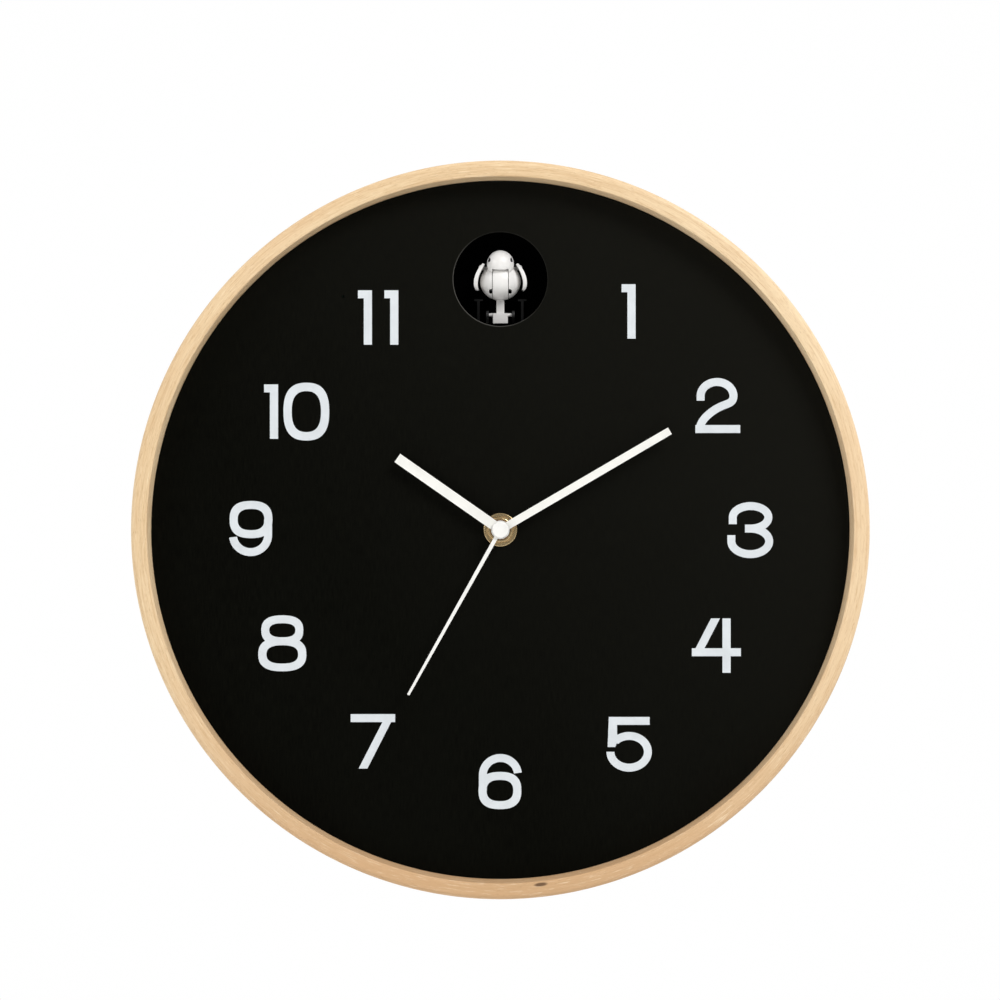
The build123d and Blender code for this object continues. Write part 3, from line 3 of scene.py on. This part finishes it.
import bmesh
import bpy
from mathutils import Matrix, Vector


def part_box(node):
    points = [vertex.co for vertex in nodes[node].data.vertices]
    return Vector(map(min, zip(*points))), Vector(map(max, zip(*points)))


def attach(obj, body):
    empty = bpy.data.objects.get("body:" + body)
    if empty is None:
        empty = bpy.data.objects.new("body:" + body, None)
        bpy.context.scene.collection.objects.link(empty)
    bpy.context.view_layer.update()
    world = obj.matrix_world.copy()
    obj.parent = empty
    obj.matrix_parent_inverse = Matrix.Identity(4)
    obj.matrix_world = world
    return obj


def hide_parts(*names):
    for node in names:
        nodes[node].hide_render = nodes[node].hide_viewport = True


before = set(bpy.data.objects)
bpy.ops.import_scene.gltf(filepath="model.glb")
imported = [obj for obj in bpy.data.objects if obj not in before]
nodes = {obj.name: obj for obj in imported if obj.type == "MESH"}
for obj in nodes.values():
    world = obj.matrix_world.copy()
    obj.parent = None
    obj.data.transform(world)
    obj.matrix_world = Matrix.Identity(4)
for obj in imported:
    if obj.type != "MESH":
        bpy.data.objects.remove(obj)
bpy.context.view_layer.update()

# metres, in the frame of the part: the wall is y = 0 and the hands turn about the Y axis
WINDOW_Z = 0.1074
WINDOW_RADIUS = 0.0202
RIM_OUTER = 0.1575
RIM_INNER = 0.1496
FACE_DEPTH = 0.043  # just behind the hoop's front edge
INNER_FLARE = 0.0010
INNER_ROUNDING = 0.0005
FRONT_ROUNDING = 0.0022
BACK_ROUNDING = 0.0008
HOOP_SEGMENTS = 720
KNOT = (0.0172, -0.1510)
KNOT_HALF_SIZE = (0.0031, 0.0009)
FLOOR_Z = -0.62


# ---------------------------------------------------------------- material building blocks
class Surface:
    """A node material with a principled shader and small helpers for its textures."""

    def __init__(self, name, color, roughness, metallic=0.0, specular=0.5):
        self.material = bpy.data.materials.new(name)
        self.material.use_nodes = True
        self.tree = self.material.node_tree
        self.shader = self.tree.nodes["Principled BSDF"]
        self.shader.inputs["Base Color"].default_value = (*color, 1.0)
        self.shader.inputs["Roughness"].default_value = roughness
        self.shader.inputs["Metallic"].default_value = metallic
        self.shader.inputs["Specular IOR Level"].default_value = specular
        self.place = self.node("ShaderNodeTexCoord").outputs["Object"]
        self.normal = None

    def node(self, kind, **values):
        made = self.tree.nodes.new(kind)
        for key, value in values.items():
            setattr(made, key, value)
        return made

    def link(self, source, target):
        self.tree.links.new(source, target)

    def axes(self):
        """The X, Y and Z object coordinates as separate values."""
        made = self.node("ShaderNodeSeparateXYZ")
        self.link(self.place, made.inputs[0])
        return (made.outputs[key] for key in "XYZ")

    def math(self, operation, first, second=None):
        made = self.node("ShaderNodeMath", operation=operation)
        for socket, value in zip(made.inputs, (first, second)):
            if value is None:
                continue
            if isinstance(value, (int, float)):
                socket.default_value = value
            else:
                self.link(value, socket)
        return made.outputs[0]

    def length(self, first, second):
        """Distance from the origin of a pair of coordinates."""
        squares = (self.math("MULTIPLY", value, value) for value in (first, second))
        return self.math("SQRT", self.math("ADD", *squares))

    def weighted_sum(self, first, weight, second, other_weight):
        pairs = ((first, weight), (second, other_weight))
        return self.math("ADD", *(self.math("MULTIPLY", *pair) for pair in pairs))

    def stretched(self, scale):
        """Object coordinates, scaled on each axis."""
        made = self.node("ShaderNodeMapping")
        self.link(self.place, made.inputs["Vector"])
        made.inputs["Scale"].default_value = scale
        return made.outputs["Vector"]

    def noise(self, scale, detail=4.0, rough=0.6, vector=None):
        made = self.node("ShaderNodeTexNoise")
        made.inputs["Scale"].default_value = 1.0
        made.inputs["Detail"].default_value = detail
        made.inputs["Roughness"].default_value = rough
        self.link(vector or self.stretched(scale), made.inputs["Vector"])
        return made.outputs["Fac"]

    def spread(self, value, low, high, out_low, out_high):
        """Map the range low to high of a value onto out_low to out_high."""
        made = self.node("ShaderNodeMapRange")
        self.link(value, made.inputs["Value"])
        sockets = ("From Min", "From Max", "To Min", "To Max")
        for key, number in zip(sockets, (low, high, out_low, out_high)):
            made.inputs[key].default_value = number
        return made.outputs["Result"]

    def tint(self, value, first, second, base=None):
        """Mix two colours, or the second colour over an earlier result given as base."""
        made = self.node("ShaderNodeMix", data_type="RGBA")
        self.link(value, made.inputs["Factor"])
        if base is None:
            made.inputs["A"].default_value = (*first, 1.0)
        else:
            self.link(base, made.inputs["A"])
        made.inputs["B"].default_value = (*second, 1.0)
        return made.outputs["Result"]

    def paint(self, color_socket):
        self.link(color_socket, self.shader.inputs["Base Color"])

    def gloss(self, value, low, high):
        self.link(self.spread(value, 0.3, 0.7, low, high), self.shader.inputs["Roughness"])

    def soft_edges(self, radius):
        made = self.node("ShaderNodeBevel", samples=4)
        made.inputs["Radius"].default_value = radius
        self.normal = made.outputs["Normal"]
        self.link(self.normal, self.shader.inputs["Normal"])

    def bump(self, height, strength, distance):
        made = self.node("ShaderNodeBump")
        made.inputs["Strength"].default_value = strength
        made.inputs["Distance"].default_value = distance
        self.link(height, made.inputs["Height"])
        if self.normal is not None:
            self.link(self.normal, made.inputs["Normal"])
        self.normal = made.outputs["Normal"]
        self.link(self.normal, self.shader.inputs["Normal"])


def shade(color, factor):
    """The colour made darker or paler by a factor."""
    return tuple(min(1.0, max(0.0, c * factor)) for c in color)


def plastic(name, color, roughness=0.45, grain=0.06, edge=0.0003, mottled=0.06):
    """Moulded plastic: fine spark-eroded grain, faint flow marks and a slightly uneven gloss."""
    made = Surface(name, color, roughness)
    made.soft_edges(edge)
    flow = made.noise((60, 60, 60), 3)
    darker, paler = shade(color, 1 - mottled), shade(color, 1 + mottled)
    made.paint(made.tint(made.spread(flow, 0.3, 0.7, 0, 1), darker, paler))
    made.gloss(flow, roughness - 0.05, roughness + 0.07)
    made.bump(made.noise((2600, 2600, 2600), 2), grain, 0.0001)
    return made


def metal(name, color, roughness=0.3, brushed=(300, 300, 300), grain=0.1, edge=0.00025):
    """Metal with fine machining or rolling marks and worn, uneven gloss."""
    made = Surface(name, color, roughness, metallic=1.0)
    made.soft_edges(edge)
    marks = made.noise(brushed, 5, 0.7)
    worn = made.noise((90, 90, 90), 3)
    darker, paler = shade(color, 0.9), shade(color, 1.06)
    made.paint(made.tint(made.spread(worn, 0.35, 0.65, 0, 1), darker, paler))
    made.gloss(marks, roughness - 0.07, roughness + 0.12)
    made.bump(marks, grain, 0.00008)
    return made


def turned(name, color, roughness=0.2):
    """Bright turned metal with concentric tool marks round the arbor of the hands."""
    made = Surface(name, color, roughness, metallic=1.0)
    made.soft_edges(0.0003)
    x, y, z = made.axes()
    radius = made.length(x, z)
    vector = made.node("ShaderNodeCombineXYZ")
    made.link(made.math("MULTIPLY", radius, 5200.0), vector.inputs["X"])
    made.link(made.math("MULTIPLY", y, 900.0), vector.inputs["Y"])
    rings = made.noise(None, 3, 0.6, vector.outputs[0])
    patina = made.noise((150, 150, 150), 3)
    paler, darker = shade(color, 1.05), shade(color, 0.8)
    made.paint(made.tint(made.spread(patina, 0.35, 0.7, 0, 1), paler, darker))
    made.gloss(patina, roughness - 0.04, roughness + 0.12)
    made.bump(rings, 0.12, 0.00006)
    return made


def bent_beech(name):
    """Beech bent round the clock: the grain follows the hoop, with a knot near the bottom, painted
    light paler toward the upper right and painted shade toward the bottom.
    """
    light, mid, dark = (0.800, 0.615, 0.385), (0.715, 0.510, 0.295), (0.50, 0.305, 0.150)
    made = Surface(name, mid, 0.5, specular=0.25)
    x, y, z = made.axes()
    radius = made.length(x, z)

    def along_grain(turn_scale, radius_scale, depth_scale, detail, rough):
        vector = made.node("ShaderNodeCombineXYZ")
        made.link(made.math("MULTIPLY", x, turn_scale), vector.inputs["X"])
        made.link(made.math("MULTIPLY", z, turn_scale), vector.inputs["Y"])
        made.link(made.math("MULTIPLY", radius, radius_scale), vector.inputs["Z"])
        noise = made.node("ShaderNodeTexNoise", noise_dimensions="4D")
        noise.inputs["Scale"].default_value = 1.0
        noise.inputs["Detail"].default_value = detail
        noise.inputs["Roughness"].default_value = rough
        made.link(vector.outputs[0], noise.inputs["Vector"])
        made.link(made.math("MULTIPLY", y, depth_scale), noise.inputs["W"])
        return noise.outputs["Fac"]

    broad = along_grain(14, 260, 120, 3, 0.5)
    lines = along_grain(30, 1500, 420, 5, 0.7)
    streaks = along_grain(150, 2300, 900, 3, 0.6)
    pores = along_grain(420, 4200, 2600, 2, 0.5)
    cloud = made.noise((9, 9, 9), 2)
    color = made.tint(made.spread(broad, 0.34, 0.66, 0, 1), mid, light)
    # painted light: the hoop made paler toward the upper right, where the key light falls
    light_from_upper_right = made.weighted_sum(x, 5.1, z, 2.9)
    # each layer: its pattern, where it starts and is full, how strong it gets, and its colour
    for pattern, start, full, strength, layer in (
        # painted highlight: paler toward the upper right
        (light_from_upper_right, 0.1, 0.9, 0.55, (0.855, 0.69, 0.46)),
        # painted shade: darker toward the bottom, where the light from above falls least
        (z, -0.05, -0.145, 0.8, (0.565, 0.335, 0.172)),
        (z, 0.125, 0.155, 0.45, (0.66, 0.44, 0.235)),
        (lines, 0.48, 0.76, 0.7, dark),
        (streaks, 0.54, 0.68, 0.6, (0.56, 0.36, 0.18)),
        (streaks, 0.44, 0.32, 0.5, (0.90, 0.74, 0.51)),
        (pores, 0.60, 0.70, 0.5, (0.40, 0.235, 0.11)),
        (cloud, 0.40, 0.7, 0.3, (0.70, 0.45, 0.25)),
    ):
        color = made.tint(made.spread(pattern, start, full, 0, strength), None, layer, color)
    # a small dark knot on the front edge, near the bottom
    sideways = made.math("SUBTRACT", x, KNOT[0])
    outward = made.math("SUBTRACT", radius, math.hypot(*KNOT))
    along = made.math("DIVIDE", sideways, KNOT_HALF_SIZE[0])
    beside = made.math("DIVIDE", outward, KNOT_HALF_SIZE[1])
    squares = (made.math("MULTIPLY", value, value) for value in (along, beside))
    far = made.math("ADD", *squares)
    lower = made.math("LESS_THAN", z, 0.0)
    in_front = made.math("LESS_THAN", y, -FACE_DEPTH)
    knot = made.spread(far, 0.35, 1.15, 0.85, 0)
    knot = made.math("MULTIPLY", made.math("MULTIPLY", knot, lower), in_front)
    color = made.tint(knot, None, (0.085, 0.04, 0.018), color)
    made.paint(color)
    made.gloss(lines, 0.42, 0.58)
    made.bump(lines, 0.16, 0.00015)
    made.bump(pores, 0.10, 0.0001)
    return made


def linen_black(name):
    """Matt black dial with a fine upright linen texture, painted light paler toward the upper
    right, and a paler edge round the window that is a painted highlight, strongest at the lower
    left.
    """
    made = Surface(name, (0.0040, 0.0042, 0.0028), 0.7, specular=0.025)
    x, _, z = made.axes()
    warp = made.noise((2300, 1, 160), 3, 0.7)
    weft = made.noise((200, 1, 1500), 2, 0.5)
    cloud = made.noise((14, 1, 10), 3)
    valley, ridge = (0.0009, 0.0009, 0.0004), (0.0034, 0.0035, 0.0022)
    color = made.tint(made.spread(warp, 0.36, 0.68, 0, 1), valley, ridge)
    color = made.tint(made.spread(cloud, 0.35, 0.7, 0, 0.3), None, (0.0036, 0.0038, 0.0026), color)
    # painted light: the dial made paler toward the upper right, where the key light falls
    light_from_upper_right = made.weighted_sum(x, 4.6, z, 3.6)
    paler = made.spread(light_from_upper_right, -0.4, 0.9, 0, 0.42)
    color = made.tint(paler, None, (0.0125, 0.0120, 0.0095), color)
    # painted highlight: a pale line round the window's cut edge, strongest at the lower left,
    # which faces the light from the upper right
    above = made.math("SUBTRACT", z, WINDOW_Z)
    from_window = made.length(x, above)
    edge = made.spread(from_window, WINDOW_RADIUS + 0.0001, WINDOW_RADIUS + 0.0004, 1, 0)
    highlight_toward_lower_left = made.weighted_sum(x, -38.0, above, -30.0)
    window_edge_highlight = made.math("MULTIPLY", edge, made.spread(highlight_toward_lower_left, -0.2, 0.9, 0.10, 0.9))
    color = made.tint(window_edge_highlight, None, (0.085, 0.083, 0.075), color)
    made.paint(color)
    made.gloss(warp, 0.62, 0.8)
    made.bump(warp, 0.28, 0.00006)
    made.bump(weft, 0.14, 0.00004)
    return made


def enamel(name, color, roughness=0.38, specks=0.05):
    """Thin sprayed or printed coat with a slight orange peel."""
    made = Surface(name, color, roughness, specular=0.4)
    peel = made.noise((1400, 1400, 1400), 2)
    cloud = made.noise((120, 120, 120), 3)
    darker, paler = shade(color, 1 - specks), shade(color, 1 + specks / 2)
    made.paint(made.tint(made.spread(cloud, 0.35, 0.65, 0, 1), darker, paler))
    made.gloss(cloud, roughness - 0.05, roughness + 0.08)
    made.bump(peel, 0.07, 0.00005)
    return made


def hardboard(name, color):
    """Pressed fibre board: crossed fibres, dark flecks and a dry surface."""
    made = Surface(name, color, 0.75, specular=0.2)
    fibres = made.noise((520, 300, 90), 5, 0.7)
    crossed = made.noise((90, 300, 520), 5, 0.7)
    flecks = made.noise((700, 700, 700), 3)
    fibre_mask = made.spread(fibres, 0.35, 0.7, 0, 1)
    crossed_mask = made.spread(crossed, 0.45, 0.75, 0, 0.5)
    fleck_mask = made.spread(flecks, 0.62, 0.72, 0, 0.6)
    mixed = made.tint(fibre_mask, shade(color, 0.75), shade(color, 1.25))
    mixed = made.tint(crossed_mask, None, shade(color, 0.6), mixed)
    made.paint(made.tint(fleck_mask, None, shade(color, 0.35), mixed))
    made.gloss(flecks, 0.68, 0.85)
    made.bump(fibres, 0.2, 0.0001)
    made.bump(crossed, 0.15, 0.0001)
    return made


def banded(name, sleeve, axis, start, band):
    """Printed battery sleeve with a gold-coloured band at its upper end along an axis."""
    made = plastic(name, sleeve, 0.32, 0.02)
    coordinates = dict(zip("XYZ", made.axes()))
    edge = made.math("GREATER_THAN", coordinates[axis], start)
    scuffs = made.noise((400, 400, 60), 4)
    color = made.tint(edge, sleeve, band)
    made.paint(made.tint(made.spread(scuffs, 0.6, 0.75, 0, 0.3), None, (0.4, 0.4, 0.4), color))
    return made


def wound(name, color, axis, scale):
    """Copper windings: fine regular ridges along an axis."""
    made = Surface(name, color, 0.3, metallic=1.0)
    wave = made.node("ShaderNodeTexWave", wave_type="BANDS", bands_direction=axis)
    wave.inputs["Scale"].default_value = scale
    wave.inputs["Distortion"].default_value = 0.4
    made.link(made.place, wave.inputs["Vector"])
    made.paint(made.tint(wave.outputs["Fac"], shade(color, 0.6), shade(color, 1.2)))
    made.bump(wave.outputs["Fac"], 0.6, 0.0001)
    return made


# ---------------------------------------------------------------- materials of the CAD nodes
WHITE = (0.80, 0.785, 0.765)
BLACK = (0.010, 0.010, 0.010)
NATURAL = (0.74, 0.71, 0.62)
STEEL = (0.58, 0.58, 0.57)
BRASS = (0.80, 0.60, 0.32)
BOARD_GREEN = (0.02, 0.13, 0.055)
CELL_SLEEVE = (0.03, 0.035, 0.045)
CELL_BAND = (0.62, 0.42, 0.16)
SIGNAL_RED = (0.42, 0.02, 0.015)
TOOTH_EDGE = 0.00006

beech = bent_beech("beech")
bird_white = plastic("bird_white", WHITE, 0.36, 0.035, 0.00035, 0.02)
black_case = plastic("black_case", BLACK, 0.5, 0.12)
deep_black = plastic("chamber_black", (0.0012, 0.0012, 0.0012), 0.8, 0.1)
deep_black.shader.inputs["Specular IOR Level"].default_value = 0.03
white_gear = plastic("white_acetal", (0.80, 0.79, 0.74), 0.35, 0.03, TOOTH_EDGE)
zinc = metal("zinc_plate", (0.62, 0.62, 0.60), 0.36, (260, 260, 260), 0.12)
ground = metal("ground_steel", STEEL, 0.22, (900, 60, 900), 0.08)
board = plastic("board_green", BOARD_GREEN, 0.35, 0.05)
hand_white = enamel("hand_white", (0.83, 0.82, 0.775))

MATERIALS = {
    "rim_hoop": beech,
    "back_blocks": beech,
    "dial_panel": linen_black("linen_black"),
    "dial_numerals": enamel("printed_white", (0.655, 0.69, 0.715), 0.6, 0.05),
    "back_panel": hardboard("hardboard", (0.20, 0.115, 0.060)),
    "panel_screws": zinc,
    "mechanism_screws": zinc,
    "hanger_plate": zinc,
    "hanger_rivets": metal("rivet_aluminium", (0.78, 0.78, 0.78), 0.3),
    "movement_base": black_case,
    "movement_cover": plastic("cover_black", (0.014, 0.014, 0.014), 0.42, 0.14),
    "train_bridge": plastic("bridge_acetal", NATURAL, 0.4, 0.04),
    "threaded_bush": turned("bush_brass", shade(BRASS, 0.92), 0.26),
    "gasket_washer": plastic("gasket_rubber", (0.012, 0.012, 0.012), 0.8, 0.2),
    "dial_washer": turned("washer_brass", BRASS, 0.2),
    "hand_nut": turned("nut_brass", BRASS, 0.18),
    "coil_bobbin": plastic("bobbin_nylon", NATURAL, 0.45, 0.04),
    "coil_winding": wound("coil_copper", (0.72, 0.30, 0.14), "X", 200.0),
    "stator_plate": metal("stator_iron", (0.42, 0.42, 0.42), 0.45, (120, 400, 400), 0.15),
    "movement_board": board,
    "quartz_crystal": metal("crystal_can", (0.76, 0.76, 0.75), 0.2),
    "rotor": plastic("rotor_black", (0.05, 0.05, 0.055), 0.4, 0.04, TOOTH_EDGE),
    "intermediate_wheel": white_gear,
    "third_wheel": white_gear,
    "motion_wheel": white_gear,
    "drive_gear": white_gear,
    "reduction_gear": white_gear,
    "seconds_wheel": plastic("yellow_acetal", (0.72, 0.46, 0.10), 0.35, 0.03, TOOTH_EDGE),
    "centre_wheel": plastic("blue_acetal", (0.10, 0.18, 0.48), 0.35, 0.03, TOOTH_EDGE),
    "hour_wheel": plastic("red_acetal", (0.52, 0.06, 0.05), 0.35, 0.03, TOOTH_EDGE),
    "motor_pinion": turned("pinion_brass", (0.78, 0.58, 0.28), 0.3),
    "hour_hand": hand_white,
    "minute_hand": hand_white,
    "second_hand": enamel("second_white", (0.84, 0.83, 0.80), 0.42),
    "setting_knob": plastic("knob_black", (0.02, 0.02, 0.02), 0.5, 0.1),
    "movement_battery": banded("movement_cell", CELL_SLEEVE, "X", 0.012, CELL_BAND),
    "box_batteries": banded("box_cells", CELL_SLEEVE, "Z", -0.018, CELL_BAND),
    "movement_contacts": metal("contact_nickel", (0.70, 0.69, 0.65), 0.3, (700, 80, 700), 0.1),
    "mechanism_frame": deep_black,
    "mechanism_cover": deep_black,
    "bird_carriage": plastic("carriage_black", (0.018, 0.018, 0.018), 0.42, 0.08),
    "guide_rods": ground,
    "drive_motor": metal("motor_can", (0.60, 0.60, 0.58), 0.28, (60, 700, 700), 0.1),
    "bird_foot": bird_white,
    "bird_core": bird_white,
    "bird_shell_left": bird_white,
    "bird_shell_right": bird_white,
    "bird_head": bird_white,
    "wing_left": bird_white,
    "wing_right": bird_white,
    "bird_eyes": plastic("eye_black", (0.035, 0.033, 0.035), 0.25, 0.02),
    "sound_board": board,
    "speaker_basket": metal("basket_steel", (0.52, 0.52, 0.50), 0.4, (300, 300, 300), 0.14),
    "speaker_cone": hardboard("cone_paper", (0.018, 0.018, 0.018)),
    "battery_box": black_case,
    "battery_door": plastic("door_black", (0.014, 0.014, 0.014), 0.42, 0.16),
    "volume_slider": plastic("slider_grey", (0.35, 0.35, 0.34), 0.45, 0.08),
    "demo_button": plastic("button_red", SIGNAL_RED, 0.35, 0.05),
    "light_sensor": board,
    "wires": plastic("wire_red", SIGNAL_RED, 0.38, 0.04),
}

for name, obj in nodes.items():
    obj.data.materials.clear()
    obj.data.materials.append(MATERIALS[name].material)


# ---------------------------------------------------------------- the hoop, made here
def lathe(name, profile, segments, material, body):
    """Ring turned about the Y axis from a closed profile of (radius, y) points."""
    mesh = bpy.data.meshes.new(name)
    shape = bmesh.new()
    rings = []
    for step in range(segments):
        turn = 2 * math.pi * step / segments
        sine, cosine = math.sin(turn), math.cos(turn)
        rings.append([shape.verts.new((r * sine, y, r * cosine)) for r, y in profile])
    for step in range(segments):
        near, far = rings[step], rings[(step + 1) % segments]
        for i in range(len(profile)):
            j = (i + 1) % len(profile)
            shape.faces.new((near[i], near[j], far[j], far[i]))
    bmesh.ops.recalc_face_normals(shape, faces=shape.faces)
    shape.to_mesh(mesh)
    shape.free()
    for polygon in mesh.polygons:
        polygon.use_smooth = True
    obj = bpy.data.objects.new(name, mesh)
    bpy.context.scene.collection.objects.link(obj)
    mesh.materials.append(material.material)
    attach(obj, body)
    return obj


def rounded(corners, steps=6):
    """Closed profile through (radius, y) corners, each rounded with its own radius."""
    points = []
    for index, (r, y, radius) in enumerate(corners):
        corner = Vector((r, y))
        before = (Vector(corners[index - 1][:2]) - corner).normalized()
        after = (Vector(corners[(index + 1) % len(corners)][:2]) - corner).normalized()
        half = before.angle(after) / 2
        if radius == 0:
            points.append((r, y))
            continue
        centre = corner + (before + after).normalized() * (radius / math.sin(half))
        start = corner + before * (radius / math.tan(half)) - centre
        end = corner + after * (radius / math.tan(half)) - centre
        sweep = start.angle(end)
        for step in range(steps + 1):
            turn = sweep * step / steps
            arm = (start * math.sin(sweep - turn) + end * math.sin(turn)) / math.sin(sweep)
            points.append(tuple(centre + arm))
    return points


hoop_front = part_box("rim_hoop")[0].y
dial_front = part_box("dial_panel")[0].y
hoop_corners = (
    (RIM_OUTER, 0.0, BACK_ROUNDING), (RIM_OUTER, hoop_front, FRONT_ROUNDING),
    (RIM_INNER + INNER_FLARE, hoop_front, INNER_ROUNDING), (RIM_INNER, dial_front, 0),
    (RIM_INNER, 0.0, BACK_ROUNDING),
)
hoop = lathe("bent_hoop", rounded(hoop_corners), HOOP_SEGMENTS, beech, "case")
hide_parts("rim_hoop")

# ---------------------------------------------------------------- floor, light, camera
floor_mesh = bpy.data.meshes.new("floor")
floor_outline = ((-4, -4), (4, -4), (4, 1.1), (-4, 1.1))
floor_mesh.from_pydata([(x, y, FLOOR_Z) for x, y in floor_outline], [], [(0, 1, 2, 3)])
floor = bpy.data.objects.new("floor", floor_mesh)
bpy.context.scene.collection.objects.link(floor)
floor_surface = Surface("pale_floor", (0.86, 0.86, 0.85), 0.8)
floor_surface.bump(floor_surface.noise((30, 30, 30), 3), 0.05, 0.001)
floor_mesh.materials.append(floor_surface.material)

# brightness of the backdrop from the -Y pole (0) toward the +Y pole (1), where it is 1
BACKDROP = ((0.0, 0.22), (0.12, 0.30), (0.35, 0.72), (0.6, 0.82))
world = bpy.data.worlds.new("studio")
world.use_nodes = True
tree = world.node_tree
direction = tree.nodes.new("ShaderNodeTexCoord")
axes = tree.nodes.new("ShaderNodeSeparateXYZ")
ramp = tree.nodes.new("ShaderNodeFloatCurve")
for position, strength in BACKDROP:
    ramp.mapping.curves[0].points.new(position, strength)
ramp.mapping.curves[0].points[0].location = BACKDROP[0]
ramp.mapping.update()
halved = tree.nodes.new("ShaderNodeMath")
halved.operation = "MULTIPLY_ADD"
halved.inputs[1].default_value = 0.5
halved.inputs[2].default_value = 0.5
tree.links.new(direction.outputs["Generated"], axes.inputs[0])
tree.links.new(axes.outputs["Y"], halved.inputs[0])
tree.links.new(halved.outputs[0], ramp.inputs["Value"])
tree.links.new(ramp.outputs["Value"], tree.nodes["Background"].inputs["Strength"])
tree.nodes["Background"].inputs["Color"].default_value = (1, 1, 1, 1)
bpy.context.scene.world = world
bpy.context.scene.view_settings.view_transform = "Standard"


def softbox(name, place, size, power):
    """Rectangular area light aimed at the middle of the clock."""
    data = bpy.data.lights.new(name, "AREA")
    data.shape = "RECTANGLE"
    data.size, data.size_y = size
    data.energy = power
    obj = bpy.data.objects.new(name, data)
    bpy.context.scene.collection.objects.link(obj)
    obj.location = place
    obj.rotation_euler = (-Vector(place)).to_track_quat("-Z", "Y").to_euler()


softbox("key", place=(1.0, -1.3, 1.3), size=(0.9, 0.8), power=29)
softbox("left", place=(-1.6, -0.9, 0.5), size=(0.8, 1.2), power=11.5)

HOOP_RADIUS_IN_PIXELS = 369.4
PIXELS_PER_METRE = HOOP_RADIUS_IN_PIXELS / RIM_OUTER
FRAME_PIXELS = 1000
SENSOR = 36.0
DISTANCE = 1.8
VIEW_CENTRE = (-0.4, 29.9)  # pixels right of and above the arbor
camera_data = bpy.data.cameras.new("camera")
camera_data.sensor_width = SENSOR
camera_data.lens = PIXELS_PER_METRE * DISTANCE / FRAME_PIXELS * SENSOR
camera = bpy.data.objects.new("camera", camera_data)
bpy.context.scene.collection.objects.link(camera)
camera.location = (
    VIEW_CENTRE[0] / PIXELS_PER_METRE,
    -(DISTANCE + FACE_DEPTH),
    VIEW_CENTRE[1] / PIXELS_PER_METRE,
)
camera.rotation_euler = (math.radians(90), 0, 0)
bpy.context.scene.camera = camera
